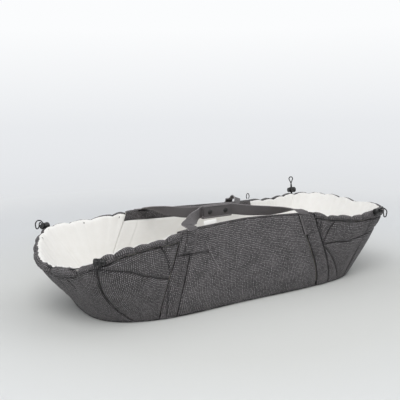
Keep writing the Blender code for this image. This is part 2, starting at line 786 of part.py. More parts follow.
def lock_meshes():
    """Barrel, push button and spring of a cord lock, with the press along Z and the cord along X."""
    low, high = LOCK_ENDS
    barrel = turned("barrel", "plastic", (
        (0.0, low + LOCK_FLOOR), (LOCK_BORE, low + LOCK_FLOOR), (LOCK_BORE, high),
        (LOCK_RADIUS - 0.0007, high), (LOCK_RADIUS, high - 0.0008), (LOCK_RADIUS, low + 0.0020),
        (LOCK_RADIUS - 0.0012, low + 0.0004), (0.0, low),
    ), LOCK_SIDES, link=False)
    half_y, half_z = LOCK_SLOT_HALF
    slot = cutter_box("barrel_slot", (0.0, 0.0, 0.0), (0.03, 2 * half_y, 2 * half_z))
    cut(barrel, [slot])
    head_low, head_high = BUTTON_REACH
    button = turned("button", "plastic", (
        (0.0, head_high), (0.55 * BUTTON_HEAD, head_high - 0.0002),
        (0.9 * BUTTON_HEAD, head_high - 0.0009), (BUTTON_HEAD, head_high - 0.0018),
        (BUTTON_HEAD, head_low), (BUTTON_RADIUS, head_low), (BUTTON_RADIUS, BUTTON_FOOT),
        (0.0, BUTTON_FOOT),
    ), LOCK_SIDES, link=False)
    slot_low, slot_high = BUTTON_SLOT
    middle = (slot_low + slot_high) / 2
    slot = cutter_box("button_slot", (0.0, 0.0, middle), (0.03, 2 * half_y, slot_high - slot_low))
    cut(button, [slot])
    low, high = SPRING_ENDS
    count = int(SPRING_TURNS * POINTS_A_TURN)
    wind = []
    for i in range(count + 1):
        angle = math.tau * i / POINTS_A_TURN
        height = low + (high - low) * i / count
        wind.append((SPRING_RADIUS * math.cos(angle), SPRING_RADIUS * math.sin(angle), height))
    spring = tube("spring", "metal", wind, SPRING_WIRE / 2, detail=1)
    PARTS.objects.unlink(spring)
    CUTTERS.objects.link(spring)
    print(f"spring: least gap between turns {1000 * (least_spacing(wind) - SPRING_WIRE):.2f} mm")
    for obj in (barrel, button, spring):
        obj.hide_render = True
        obj.data.shade_smooth()
        obj.data.set_sharp_from_angle(angle=math.radians(35.0))
    return barrel.data, button.data, spring.data


def make_locks():
    """A lock on each loop: the barrel slides along the cord, and its button presses in."""
    barrel, button, spring = lock_meshes()
    for name, (seam, tilt, distance, _) in LOCKS.items():
        shift = Matrix.Translation((distance + LOCK_RADIUS, 0.0, 0.0))
        frame = lock_frame(seam, tilt) @ shift
        holder = bpy.data.objects.new(name + "_lock_frame", None)
        holder.matrix_world = frame
        PARTS.objects.link(holder)
        for part, mesh in (("cord_lock", barrel), ("lock_button", button), ("lock_spring", spring)):
            obj = bpy.data.objects.new(f"{name}_{part}", mesh)
            obj.parent = holder
            PARTS.objects.link(obj)
        press = frame.to_3x3() @ Vector((0.0, 0.0, -1.0))
        slide = frame.to_3x3() @ Vector((1.0, 0.0, 0.0))
        print(f"{name} lock at {tuple(round(c, 5) for c in frame.translation)}")
        print(f"  slides along {tuple(round(c, 5) for c in slide)}")
        print(f"  presses along {tuple(round(c, 5) for c in press)}")


def make_ends():
    """Casing and drawcord of each gathered end."""
    ends = (("foot", 2, ("foot_near", "foot_far")), ("head", 10, ("head_far", "head_near")))
    for end, first, names in ends:
        casing = make_casing(end + "_casing", first, first + 4)
        tools = []
        for name in names:
            seam, tilt, _, _ = LOCKS[name]
            way_out = lock_frame(seam, tilt) @ Matrix.Rotation(math.pi / 2, 4, "Y")
            tools.append(cutter_rod(name + "_way_out", EYELET_RADIUS, 0.02, way_out))
        cut(casing, tools)
        make_drawcord(end + "_drawcord", first, first + 4, [LOCKS[name] for name in names])


def make_end_loop():
    """The tied end of the far drawcord, a small loop that stands at the corner of the far panel."""
    top, along, _, out = wall_frame(6.0, 1.0)
    foot = top - (out + along) * 0.003 + Vector((0.0, 0.0, 0.0016))
    points = []
    for i in range(13):
        turn = math.radians(-150.0 + 300.0 * i / 12)
        rise = END_LOOP_HEIGHT / 2 * (1 + math.cos(turn))
        points.append(foot + along * END_LOOP_HALF * math.sin(turn) + Vector((0.0, 0.0, rise)))
    return tube("cord_end_loop", "cord", points, END_LOOP_CORD / 2)


# Handles


def seam_at(x, near):
    """The seam number where the rim of a side stands at x."""
    low, high = (-2.0, 2.0) if near else (10.0, 6.0)
    for _ in range(40):
        middle = (low + high) / 2
        if plan_point(RIMS, middle).x < x:
            low = middle
        else:
            high = middle
    return low


def make_patch(name, x, near, pivot):
    """Webbing sewn flat on the outside of a panel and turned over its rim."""
    outward = -1.0 if near else 1.0
    on_band = abs(x) + WEBBING_WIDTH / 2 > FOOT_RIM_SEAMS[1]
    outer = PIECE_GAP + (BAND_RAISE + PATCH_EASE if on_band else 0.0)
    corners = ((-0.5, 0), (0.5, 0), (0.5, 1), (-0.5, 1))
    rings = []
    for drop in (PATCH_DROP, PATCH_DROP * 0.6, PATCH_DROP * 0.25, 0.0035):
        ring = []
        for side, level in corners:
            lean = seam_at(x + side * WEBBING_WIDTH, near)
            point, _, _, out = wall_frame(lean, rise_below_rim(lean, drop))
            ring.append(point + out * (outer + WEBBING * level))
        rings.append(ring)
    low = pivot.z - STRAP_LIFT + 0.0014
    edge = wall_point(seam_at(x, near), 1.0).y
    for y, level_drop in ((edge + outward * 0.0020, 0.0006), (edge - outward * 0.0010, 0.0)):
        skew = wall_point(seam_at(x + WEBBING_WIDTH / 2, near), 1.0).y - edge
        ring = []
        for side, level in corners:
            height = low + (WEBBING if level else 0.0) - level_drop
            ring.append(Vector((x + side * WEBBING_WIDTH, y + 2 * side * skew, height)))
        rings.append(ring)
    end = pivot.y + outward * STRAP_START_GAP
    rings.append([Vector((x + s * WEBBING_WIDTH, end, low + WEBBING * n)) for s, n in corners])
    return loft(name, "webbing", rings)


def smooth_curve(stops, share):
    """A point on the smooth curve through the stops, at a share of their count."""
    place = share * (len(stops) - 1)
    low = min(int(place), len(stops) - 2)
    t = place - low
    a, b, c, d = (stops[min(max(low + i, 0), len(stops) - 1)] for i in (-1, 0, 1, 2))
    turn = (a * 2 - b * 5 + c * 4 - d) * t * t + (b * 3 - a - c * 3 + d) * t**3
    return b + ((c - a) * t + turn) / 2


def make_strap(name, stops, rolls, pivot):
    """A webbing strap along stops, rolled from flat at the rim to on edge in the middle."""
    rings = []
    for step in range(STRAP_STEPS + 1):
        share = step / STRAP_STEPS
        here = smooth_curve(stops, share)
        before, after = max(share - 0.01, 0.0), min(share + 0.01, 1.0)
        ahead = (smooth_curve(stops, after) - smooth_curve(stops, before)).normalized()
        roll = math.radians(float(np.interp(share * (len(rolls) - 1), range(len(rolls)), rolls)))
        level = Vector((0.0, 0.0, 1.0)).cross(ahead).normalized()
        rise = ahead.cross(level)
        wide = level * math.cos(roll) + rise * math.sin(roll)
        thick = ahead.cross(wide)
        ring = [
            here + wide * WEBBING_WIDTH * a / 2 + thick * WEBBING * b / 2
            for a, b in ((-1, -1), (1, -1), (1, 1), (-1, 1))
        ]
        rings.append(ring)
    strap = loft(name, "webbing", rings)
    return pivot_at(strap, pivot)


def strap_starts(places, near):
    """The middles of a handle's two ends over the rim, on one line parallel to X."""
    tops = []
    for x in places:
        top, _, _, out = wall_frame(seam_at(x, near), 1.0)
        tops.append(top - out * (WALL / 2))
    y = min((top.y for top in tops), key=abs)
    z = max(top.z for top in tops) + STRAP_LIFT
    return [Vector((x, y, z)) for x in places]


def make_handles():
    """Two webbing handles that lie across the opening and meet at the grip wrap."""
    y, z = WRAP_PLACE
    left, right = WRAP_SPAN
    middle = (left + right) / 2
    near_left, near_right = strap_starts(NEAR_ENDS, True)
    far_left, far_right = strap_starts(FAR_ENDS, False)
    inward = Vector((0.0, STRAP_LEAD, 0.002))
    outward = Vector((0.0, -STRAP_LEAD, 0.002))
    near_stops = [near_left, near_left + inward]
    near_stops += [Vector(place) for place in NEAR_RISE]
    near_stops += [Vector((x, y, z)) for x in (left, middle, right)]
    near_stops += [Vector(place) for place in NEAR_FALL]
    near_stops += [near_right + inward, near_right]
    far_y = y + WRAP_THICK / 2 + HANDLES_APART
    far_stops = [far_left, far_left + outward]
    far_stops += [Vector(place) for place in FAR_RISE]
    far_stops += [Vector((x, far_y, z)) for x in (left, middle, right)]
    far_stops += [Vector(place) for place in FAR_FALL]
    far_stops += [far_right + outward, far_right]
    near_pivot = Vector((0.0, near_left.y, near_left.z))
    far_pivot = Vector((0.0, far_left.y, far_left.z))
    make_strap("near_handle", near_stops, STRAP_ROLLS, near_pivot)
    make_strap("far_handle", far_stops, [-roll for roll in STRAP_ROLLS], far_pivot)
    for end, near_x, far_x in zip(("head", "foot"), NEAR_ENDS, FAR_ENDS):
        make_patch(f"near_{end}_patch", near_x, True, near_pivot)
        make_patch(f"far_{end}_patch", far_x, False, far_pivot)
    print("near handle axis", tuple(round(c, 5) for c in near_pivot))
    print("far handle axis", tuple(round(c, 5) for c in far_pivot))
    return near_pivot


def rounded_box(name, stuff, centre, size, radius):
    bm = bmesh.new()
    bmesh.ops.create_cube(bm, size=1.0)
    bmesh.ops.scale(bm, vec=size, verts=bm.verts)
    bmesh.ops.translate(bm, vec=centre, verts=bm.verts)
    obj = object_from(bm, name, stuff)
    bevel = obj.modifiers.new("soft edges", "BEVEL")
    bevel.width = radius
    bevel.segments = 2
    return baked(obj)


def make_grip(pivot):
    """The padded wrap that holds the handles together, its flap and its two snap fasteners."""
    y, z = WRAP_PLACE
    left, right = WRAP_SPAN
    middle, length = (left + right) / 2, right - left
    wrap = rounded_box("grip_wrap", "webbing", (middle, y, z), (length, WRAP_THICK, WRAP_HEIGHT), 0.0028)
    bore_size = (length + 0.02, WRAP_THICK - 2 * WRAP_WALL, WRAP_HEIGHT - 2 * WRAP_WALL)
    tools = [cutter_box("wrap_bore", (middle, y, z), bore_size)]
    face = y - WRAP_THICK / 2
    places = [middle + side * SNAP_SPACING / 2 for side in (-1, 1)]
    for x in places:
        aim = Matrix.Translation((x, face + WRAP_WALL - 0.0001, z)) @ Matrix.Rotation(math.pi / 2, 4, "X")
        tools.append(cutter_rod("snap_seat", SNAP_HOLE, 0.01, aim, sides=16))
    cut(wrap, tools)
    flap_face = face - 0.0004
    flap = rounded_box(
        "grip_flap", "webbing", (middle, flap_face - FLAP / 2, z),
        (length - 0.004, FLAP, FLAP_HEIGHT), 0.0007,
    )
    tools = []
    for x in places:
        aim = Matrix.Translation((x, flap_face + 0.005, z)) @ Matrix.Rotation(math.pi / 2, 4, "X")
        tools.append(cutter_rod("snap_way", 0.0017, 0.02, aim, sides=12))
    cut(flap, tools)
    hinge = (middle, flap_face - FLAP, z - FLAP_HEIGHT / 2)
    pivot_at(flap, hinge)
    pivot_at(wrap, (middle, pivot.y, pivot.z))
    make_snaps(places, face, flap_face, z, hinge)
    print("grip flap axis", tuple(round(c, 5) for c in hinge))


def make_snaps(places, face, flap_face, z, hinge):
    """Cap, post and stud of each snap on the flap, and the socket ring sunk in the wrap."""
    bulb, socket = 0.0024, 0.0029
    front = flap_face - FLAP
    cap_profile = (
        (0.0, 0.0018), (0.55 * SNAP_CAP, 0.0016), (0.9 * SNAP_CAP, 0.0010), (SNAP_CAP, 0.0004),
        (SNAP_CAP, 0.0002), (0.0014, 0.0002), (0.0014, -FLAP - 0.0006),
        (bulb, -FLAP - 0.0010), (bulb, -FLAP - 0.0018), (0.0, -FLAP - 0.0022),
    )
    ring_profile = (
        (socket, 0.0), (SNAP_HOLE - 0.0003, 0.0), (SNAP_HOLE - 0.0003, -0.0020), (socket, -0.0020),
        (socket, 0.0),
    )
    outward = Matrix.Rotation(math.pi / 2, 4, "X")
    for end, x in zip(("head", "foot"), places):
        stud = baked(turned(f"{end}_snap_stud", "plastic", cap_profile, 16))
        stud.data.transform(Matrix.Translation((x, front, z)) @ outward)
        pivot_at(stud, hinge)
        ring = baked(turned(f"{end}_snap_socket", "metal", ring_profile, 16))
        ring.data.transform(Matrix.Translation((x, face + 0.0002, z)) @ outward)


def make_label():
    """A bare sewn-in label that stands up inside the near rim."""
    width, height, thick = LABEL_SIZE
    top, along, up, out = wall_frame(seam_at(LABEL_PLACE, True), 1.0)
    inside = WALL + 0.0004

    def place(u, v, layer):
        lean = out * LABEL_LEAN * v * v
        middle = top - out * (inside + thick * layer) - up * (LABEL_SUNK - height * v)
        return middle + along * width * (u - 0.5) - lean

    return slab("care_label", "label", 4, 3, place)


clear_scene()
PARTS = new_collection("baby_sleep_carrier")
CUTTERS = new_collection("cutters")
CUTTERS.hide_render = True
mattress_level = make_floor()
make_mattress(mattress_level)
make_walls()
make_facing("near_facing", -2.0, 2.0)
make_facing("far_facing", 6.0, 10.0)
make_ends()
make_locks()
make_end_loop()
handle_axis = make_handles()
make_grip(handle_axis)
make_label()
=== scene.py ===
"""Baby sleep carrier, dressed: a woven shell, a pale lining, webbing handles and drawcord locks.

Metres, +Z up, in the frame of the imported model: the origin is the middle of the underside, +X runs
toward the foot end and -Y is the near side. A seam number goes once round the wall: 0 is the middle
of the near side, 4 the foot tip, 8 the middle of the far side and 12 the head tip.
"""

from __future__ import annotations

import logging
import math
import random
from collections.abc import Callable, Sequence
from dataclasses import dataclass, field
from enum import Enum
from functools import partial

import bmesh
import bpy
import numpy as np
from mathutils import Matrix, Vector


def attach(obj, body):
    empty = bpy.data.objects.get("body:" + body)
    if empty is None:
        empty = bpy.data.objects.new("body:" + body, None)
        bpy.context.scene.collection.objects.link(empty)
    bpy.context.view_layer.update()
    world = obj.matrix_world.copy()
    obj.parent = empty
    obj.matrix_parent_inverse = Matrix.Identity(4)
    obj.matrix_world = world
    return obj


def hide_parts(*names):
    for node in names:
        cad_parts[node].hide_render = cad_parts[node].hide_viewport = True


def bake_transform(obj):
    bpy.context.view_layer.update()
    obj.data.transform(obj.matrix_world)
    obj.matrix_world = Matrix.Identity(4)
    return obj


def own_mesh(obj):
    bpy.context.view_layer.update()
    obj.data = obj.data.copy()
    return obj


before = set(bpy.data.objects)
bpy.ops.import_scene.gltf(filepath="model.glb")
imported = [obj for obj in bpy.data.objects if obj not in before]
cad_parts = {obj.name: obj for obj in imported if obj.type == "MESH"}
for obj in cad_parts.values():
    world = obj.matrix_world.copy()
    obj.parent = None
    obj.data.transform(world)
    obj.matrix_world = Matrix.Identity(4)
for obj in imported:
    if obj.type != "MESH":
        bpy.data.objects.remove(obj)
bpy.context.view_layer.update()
LOG = logging.getLogger("carrier")
Array = np.ndarray
Pair = tuple[np.ndarray, np.ndarray]
Piece = bpy.types.Object
Material = bpy.types.Material
Node = bpy.types.Node
Rows = Sequence[tuple[float, float]]
Places = tuple[tuple[float, float], ...]
MM = 0.001

RING = 16.0
RIM_HEIGHTS = (
    (0.0, 0.1730), (1.0, 0.1705), (2.0, 0.1685), (2.5, 0.1560), (3.0, 0.1590),
    (4.0, 0.1540), (5.0, 0.1600), (5.5, 0.1560), (6.0, 0.1605), (7.0, 0.1630),
    (8.0, 0.1700), (9.0, 0.1705), (10.0, 0.1680), (10.5, 0.1570), (11.0, 0.1490),
    (11.5, 0.1340), (12.0, 0.1200), (12.5, 0.1225), (13.0, 0.1400), (13.25, 0.1560),
    (13.5, 0.1640), (14.0, 0.1680), (15.0, 0.1700),
)
CLOTH = 3.0 * MM
FOAM_DEPTH = 4.0 * MM
FOAM = 5.0 * MM
LINING_DEPTH = 10.0 * MM
LINING = 2.4 * MM
WALL_DEPTH = LINING_DEPTH + LINING
CASING_HEIGHT = 19.0 * MM
CASING_DEPTH = 4.0 * MM
FACING_DROP = 22.0 * MM
CORD = 2.5 * MM
WEBBING_WIDTH = 24.0 * MM
WEBBING = 1.8 * MM


class Level(Enum):
    """The two closed outlines that the wall runs between."""

    RIM = "rim"
    BASE = "base"


class Side(Enum):
    """A long side of the carrier, with the sign of its Y."""

    NEAR = -1
    FAR = 1


def unit(vectors: Array) -> Array:
    """Rows of an array, each brought to length one."""
    return vectors / np.linalg.norm(vectors, axis=1, keepdims=True)


def run_along(line: Array) -> Array:
    """Distances along a line of points, from its start."""
    return np.concatenate([[0.0], np.cumsum(np.linalg.norm(np.diff(line, axis=0), axis=1))])


def smoothstep(low: float, high: float, value: Array) -> Array:
    """A smooth rise from 0 at low to 1 at high."""
    share = np.clip((value - low) / (high - low), 0.0, 1.0)
    return share * share * (3.0 - 2.0 * share)


class Quarter:
    """A quarter outline from the middle of a side to a tip, measured along its length."""

    def __init__(self, length: float, half_width: Callable[[Array], Array], roundness: tuple[float, float],
                 seams: Sequence[float]) -> None:
        """Lays the outline out as a superellipse.

        Args:
            length: Distance from the middle to the tip.
            half_width: Half width of the whole shape at a place along X.
            roundness: The outline's exponents along X and across.
            seams: Places along X of seam numbers 0 to 3.
        """
        angle = np.linspace(math.pi / 2, 0.0, 720)
        self.x = length * np.cos(angle).clip(0) ** (2 / roundness[0])
        self.x[0] = 0.0
        self.y = half_width(self.x) * np.sin(angle).clip(0) ** (2 / roundness[1])
        steps = np.hypot(np.diff(self.x), np.diff(self.y))
        self.arc = np.concatenate([[0.0], np.cumsum(steps)])
        self.marks = [float(np.interp(x, self.x, self.arc)) for x in seams] + [float(self.arc[-1])]

    def at(self, seam: Array) -> Pair:
        """The outline's X and Y at seam numbers from 0 to 4."""
        arc = np.interp(seam, range(len(self.marks)), self.marks)
        return np.interp(arc, self.arc, self.x), np.interp(arc, self.arc, self.y)


@dataclass
class Wall:
    """The one smooth surface that all the shell's cloth lies on."""

    foot_length: float = 0.413
    head_length: float = 0.414
    rim_waist: float = 0.105
    rim_swell: float = 0.071
    swell_reach: float = 0.40
    base_length: float = 0.325
    base_width: float = 0.129
    head_swell: float = 0.014
    head_reach: float = 0.26
    low_bulge: float = 0.016
    corner_flatness: float = 0.35
    high_bulge: float = 0.007
    foot_of_wall: float = 0.0035
    rim_seams: dict = field(default_factory=lambda: {
        "foot": (0.0, 0.132, 0.165, 0.328), "head": (0.0, 0.132, 0.165, 0.345)})
    base_seams: dict = field(default_factory=lambda: {
        "foot": (0.0, 0.176, 0.212, 0.272), "head": (0.0, 0.180, 0.217, 0.264)})

    def __post_init__(self) -> None:
        """Lays out the four quarter outlines and measures the wall once round."""
        def width(start: float, swell: float = 0.0, reach: float = 1.0) -> Callable[[Array], Array]:
            """What gives the half width at x of an outline that swells out from its middle."""
            return lambda x: start + swell * (1 - np.cos(math.pi * x / reach)) / 2

        rim_width = width(self.rim_waist, self.rim_swell, self.swell_reach)
        foot_width = width(self.base_width)
        head_width = width(self.base_width, self.head_swell, self.head_reach)
        self.quarters = {
            (Level.RIM, "foot"): Quarter(self.foot_length, rim_width, (4.0, 4.0), self.rim_seams["foot"]),
            (Level.RIM, "head"): Quarter(self.head_length, rim_width, (9.7, 1.15), self.rim_seams["head"]),
            (Level.BASE, "foot"): Quarter(self.base_length, foot_width, (4.0, 4.0), self.base_seams["foot"]),
            (Level.BASE, "head"): Quarter(self.base_length, head_width, (3.6, 3.0), self.base_seams["head"]),
        }
        self.stations: Array = np.linspace(-RING / 2, 1.5 * RING, 1921)
        self.lengths = run_along(self.point(self.stations, np.full_like(self.stations, 0.75)))
        rows = [self.point(self.stations, np.full_like(self.stations, r)) for r in np.linspace(0, 1, 13)]
        self.tall = sum(np.linalg.norm(b - a, axis=1) for a, b in zip(rows, rows[1:]))

    def plan(self, level: Level, seam: Array) -> Array:
        """Plan points of an outline at seam numbers.

        Args:
            level: Which outline.
            seam: Seam numbers.

        Returns:
            Rows of X, Y and 0.
        """
        seam = np.mod(seam, RING)
        quarter = np.floor(seam / 4.0)
        along = seam - 4.0 * quarter
        along = np.where(np.isin(quarter, (1, 3)), 4.0 - along, along)
        foot = quarter < 2
        x_foot, y_foot = self.quarters[level, "foot"].at(along)
        x_head, y_head = self.quarters[level, "head"].at(along)
        x = np.where(foot, x_foot, -x_head)
        y = np.where(foot, y_foot, y_head) * np.where(np.isin(quarter, (0, 3)), -1.0, 1.0)
        return np.stack([x, y, np.zeros_like(x)], axis=1)

    def normal(self, level: Level, seam: Array) -> Array:
        """Outward directions in plan, square to an outline."""
        ahead = self.plan(level, seam + 0.02) - self.plan(level, seam - 0.02)
        return unit(np.stack([ahead[:, 1], -ahead[:, 0], np.zeros(len(ahead))], axis=1))

    def height(self, seam: Array) -> Array:
        """Heights of the rim, on a smooth curve through the rim's places.

        Args:
            seam: Seam numbers.

        Returns:
            Heights, in metres.
        """
        places = np.array([place for place, _ in RIM_HEIGHTS])
        heights = np.array([height for _, height in RIM_HEIGHTS])
        x = np.concatenate([places[-2:] - RING, places, places[:3] + RING])
        y = np.concatenate([heights[-2:], heights, heights[:3]])
        seam = np.mod(seam, RING)
        i = np.searchsorted(x, seam + 1e-9, side="right") - 1
        span = x[i + 1] - x[i]
        t = (seam - x[i]) / span
        low_slope = (y[i + 1] - y[i - 1]) / (x[i + 1] - x[i - 1]) * span
        high_slope = (y[i + 2] - y[i]) / (x[i + 2] - x[i]) * span
        low = (2 * t**3 - 3 * t**2 + 1) * y[i] + (t**3 - 2 * t**2 + t) * low_slope
        return low + (3 * t**2 - 2 * t**3) * y[i + 1] + (t**3 - t**2) * high_slope

    def point(self, seam: Array, rise: Array) -> Array:
        """Points of the outer face at seam numbers and shares of the wall's height.

        Args:
            seam: Seam numbers.
            rise: Shares of the wall's height.

        Returns:
            Rows of coordinates.
        """
        up = np.array([0.0, 0.0, 1.0])
        low = self.plan(Level.BASE, seam) + up * self.foot_of_wall
        top = self.plan(Level.RIM, seam) + up * self.height(seam)[:, None]
        climb = (top[:, 2] - low[:, 2])[:, None]
        corner = np.abs(np.mod(seam, RING) - 12.0)
        corner = smoothstep(2.4, 1.2, corner) * self.corner_flatness
        bulge = (self.low_bulge * (1 - corner))[:, None]
        near = low + self.normal(Level.BASE, seam) * bulge + up * 0.24 * climb
        far = low + (top - low) * 0.62 + self.normal(Level.RIM, seam) * self.high_bulge
        t = np.asarray(rise)[:, None]
        s = 1.0 - t
        return low * s**3 + near * 3 * s * s * t + far * 3 * s * t * t + top * t**3

    def frame(self, seam: Array, rise: Array) -> tuple[Array, Array, Array, Array]:
        """Points of the outer face, and directions along the seams, up the wall and out.

        Args:
            seam: Seam numbers.
            rise: Shares of the wall's height.

        Returns:
            The points and the three directions, in rows.
        """
        along = unit(self.point(seam + 0.02, rise) - self.point(seam - 0.02, rise))
        upper, lower = np.minimum(rise + 0.01, 1.0), np.maximum(rise - 0.01, 0.0)
        up = unit(self.point(seam, upper) - self.point(seam, lower))
        return self.point(seam, rise), along, up, unit(np.cross(along, up))

    def below_rim(self, seam: Array, distance: Array | float) -> Array:
        """Shares of the wall's height that lie a distance below the rim, along the wall.

        Args:
            seam: Seam numbers.
            distance: The distance, in metres.

        Returns:
            The shares.
        """
        low, high = np.full(len(seam), 0.3), np.ones(len(seam))
        top = self.point(seam, high)
        for _ in range(22):
            middle = (low + high) / 2
            far = np.linalg.norm(top - self.point(seam, middle), axis=1) > distance
            low, high = np.where(far, middle, low), np.where(far, high, middle)
        return high

    def run(self, seam: Array | float | list[int]) -> Array:
        """Distances once round the wall at seam numbers, in metres."""
        return np.interp(seam, self.stations, self.lengths)

    def chart(self, seam: Array, rise: Array) -> Pair:
        """Flat coordinates of the cloth, in metres: along the seams and up the wall."""
        return self.run(seam), rise * np.interp(seam, self.stations, self.tall)

    def seam_at(self, x: float, side: Side) -> float:
        """The seam number where a side's rim stands at x."""
        seams = np.linspace(-2.0, 2.0, 801) if side is Side.NEAR else np.linspace(10.0, 6.0, 801)
        return float(np.interp(x, self.plan(Level.RIM, seams)[:, 0], seams))

    def single(self, seam: float, rise: float) -> tuple[Vector, Vector, Vector, Vector]:
        """The frame at one place, as vectors."""
        return tuple(Vector(part[0]) for part in self.frame(np.array([seam]), np.array([rise])))


WALL = Wall()


def is_gathered(seam: Array | float) -> Array:
    """Whether seam numbers lie on a gathered end."""
    place = np.mod(seam, 8.0)
    return (place > 2.0) & (place < 6.0)


@dataclass
class Gathering:
    """How the cord draws up a gathered end: puffs of cloth with a pinch between each two.

    A row holds a seam number, how far the casing's top and its lower stitching lie below the rim, in
    millimetres, and how tight the cloth is drawn there, from 0 for a puff to 1 for a pinch.
    """

    near_head: tuple = (
        (12.00, 4.0, 20.0, 0.2), (12.14, 7.5, 23.0, 0.0), (12.25, 17.0, 24.5, 1.0), (12.34, 8.0, 25.0, 0.0),
        (12.55, 8.0, 25.0, 0.0), (12.687, 20.0, 25.5, 1.0), (12.77, 7.5, 18.5, 0.0), (12.88, 6.5, 15.0, 0.5),
        (12.94, 6.0, 14.0, 0.0), (13.00, 1.5, 12.5, 0.7),
        (13.09, -4.0, 11.5, 0.0), (13.16, 2.5, 12.0, 0.8), (13.29, -1.5, 12.5, 0.0), (13.38, 5.5, 15.5, 0.9),
        (13.47, 4.0, 15.5, 0.0), (13.564, 7.0, 16.0, 0.6), (13.69, 5.5, 17.0, 0.0), (13.80, 9.0, 19.5, 0.9),
        (13.91, 2.5, 20.0, 0.0), (14.00, 1.5, 20.0, 0.4),
    )
    near_foot: tuple = (
        (2.00, 0.5, 14.0, 0.3), (2.04, -1.0, 13.5, 0.0), (2.21, 8.0, 15.0, 1.0), (2.31, 2.0, 12.5, 0.0),
        (2.38, 2.5, 11.5, 0.4), (2.46, -0.5, 11.5, 0.0), (2.60, 5.5, 14.5, 0.9), (2.70, 3.0, 16.5, 0.0),
        (2.78, 6.0, 18.0, 0.9), (2.87, 2.0, 19.0, 0.0), (3.00, 1.0, 20.0, 0.6), (3.20, 0.0, 20.0, 0.0),
        (3.42, 4.0, 20.0, 0.8), (3.68, 0.5, 20.0, 0.0), (3.86, 4.5, 20.0, 0.8), (4.00, 1.0, 20.0, 0.2),
    )
    spacing: float = 0.13

    def __post_init__(self) -> None:
        """Adds uneven puffs to the far half of each end."""
        draw = random.Random(29)
        self.rows = {}
        for end, near, far in (("foot", self.near_foot, (4.0, 6.0)), ("head", self.near_head, (10.0, 12.0))):
            rows = []
            place, tight = far[0], True
            while place < far[1] - self.spacing:
                rows.append((place, draw.uniform(3.5, 6.0) if tight else draw.uniform(-0.5, 1.5), 20.0,
                             draw.uniform(0.6, 1.0) if tight else 0.0))
                place += self.spacing * draw.uniform(0.55, 1.15)
                tight = not tight
            if end == "foot":
                rows = list(near[:-1]) + rows + [(6.0, 1.0, 20.0, 0.4)]
            else:
                rows = rows + list(near)
            self.rows[end] = np.array(rows)

    def at(self, seam: Array) -> tuple[Array, Array, Array]:
        """Depth of the casing's top and of its lower edge, in metres, and how tight it is drawn.

        Args:
            seam: Seam numbers.

        Returns:
            The two depths and the tightness.
        """
        seam = np.mod(seam, RING)
        found = []
        for column in (1, 2, 3):
            total = np.zeros_like(seam)
            for end in ("foot", "head"):
                rows = self.rows[end]
                i = np.clip(np.searchsorted(rows[:, 0], seam, side="right") - 1, 0, len(rows) - 2)
                t = np.clip((seam - rows[i, 0]) / (rows[i + 1, 0] - rows[i, 0]), 0.0, 1.0)
                steep = rows[i, 3] > rows[i + 1, 3]
                rounded = np.where(steep, np.sin(t * math.pi / 2) ** 0.8,
                                   1.0 - np.sin((1 - t) * math.pi / 2) ** 0.8)
                share = smoothstep(0.0, 1.0, t) if column == 2 else rounded
                level = rows[i, column] + (rows[i + 1, column] - rows[i, column]) * share
                total = np.where((seam >= rows[0, 0]) & (seam <= rows[-1, 0]), level, total)
            found.append(total)
        return found[0] * MM, found[1] * MM, found[2]


GATHERS = Gathering()


def bell(away: Array, width: float) -> Array:
    """A bell curve: 1 at no distance away, and falling off over a width."""
    return np.exp(-(away / width) ** 2)


def undulation(s: Array, h: Array, seed: int, wavelength: float, waves: int = 6) -> Array:
    """A soft irregular surface from -1 to 1, made of a few plane waves over the cloth.

    Args:
        s: Places along the cloth, in metres.
        h: Places up the cloth, in metres.
        seed: Which surface.
        wavelength: Middle wavelength, in metres.
        waves: How many waves are added.

    Returns:
        Heights from -1 to 1.
    """
    draw = random.Random(seed)
    total = np.zeros_like(s)
    for _ in range(waves):
        turn = draw.uniform(0.0, math.pi)
        length = wavelength * draw.uniform(0.6, 1.6)
        total += np.sin(math.tau * (s * math.cos(turn) + h * math.sin(turn)) / length + draw.uniform(0, 6.3))
    return total / waves


def linear(code: str) -> tuple[float, float, float, float]:
    """An sRGB hex colour as linear red, green, blue and one."""
    parts = [int(code[i:i + 2], 16) / 255 for i in (1, 3, 5)]
    return (*(c / 12.92 if c <= 0.04045 else ((c + 0.055) / 1.055) ** 2.4 for c in parts), 1.0)


def add_node(tree: bpy.types.NodeTree, kind: str, inputs: dict | None = None, **settings) -> Node:
    """Adds a node with its settings and links.

    Args:
        tree: The material's or world's node tree.
        kind: The node's type name after "ShaderNode".
        inputs: For each input, by name or number, a value, an sRGB hex colour, an output socket or
            a node, which gives its first output.
        settings: Values for the node's own properties.

    Returns:
        The new node.
    """
    made = tree.nodes.new("ShaderNode" + kind)
    for name, value in settings.items():
        setattr(made, name, value)
    for name, value in (inputs or {}).items():
        value = value.outputs[0] if isinstance(value, Node) else value
        if isinstance(value, bpy.types.NodeSocket):
            tree.links.new(value, made.inputs[name])
        else:
            made.inputs[name].default_value = linear(value) if isinstance(value, str) else value
    return made


def blank_material(name: str) -> tuple[Material, Callable[..., Node], Node]:
    """A new material, what adds nodes to it, and its Principled shader.

    Args:
        name: The material's name.

    Returns:
        The material, the adder and the shader.
    """
    made = bpy.data.materials.new(name)
    made.use_nodes = True
    return made, partial(add_node, made.node_tree), made.node_tree.nodes["Principled BSDF"]


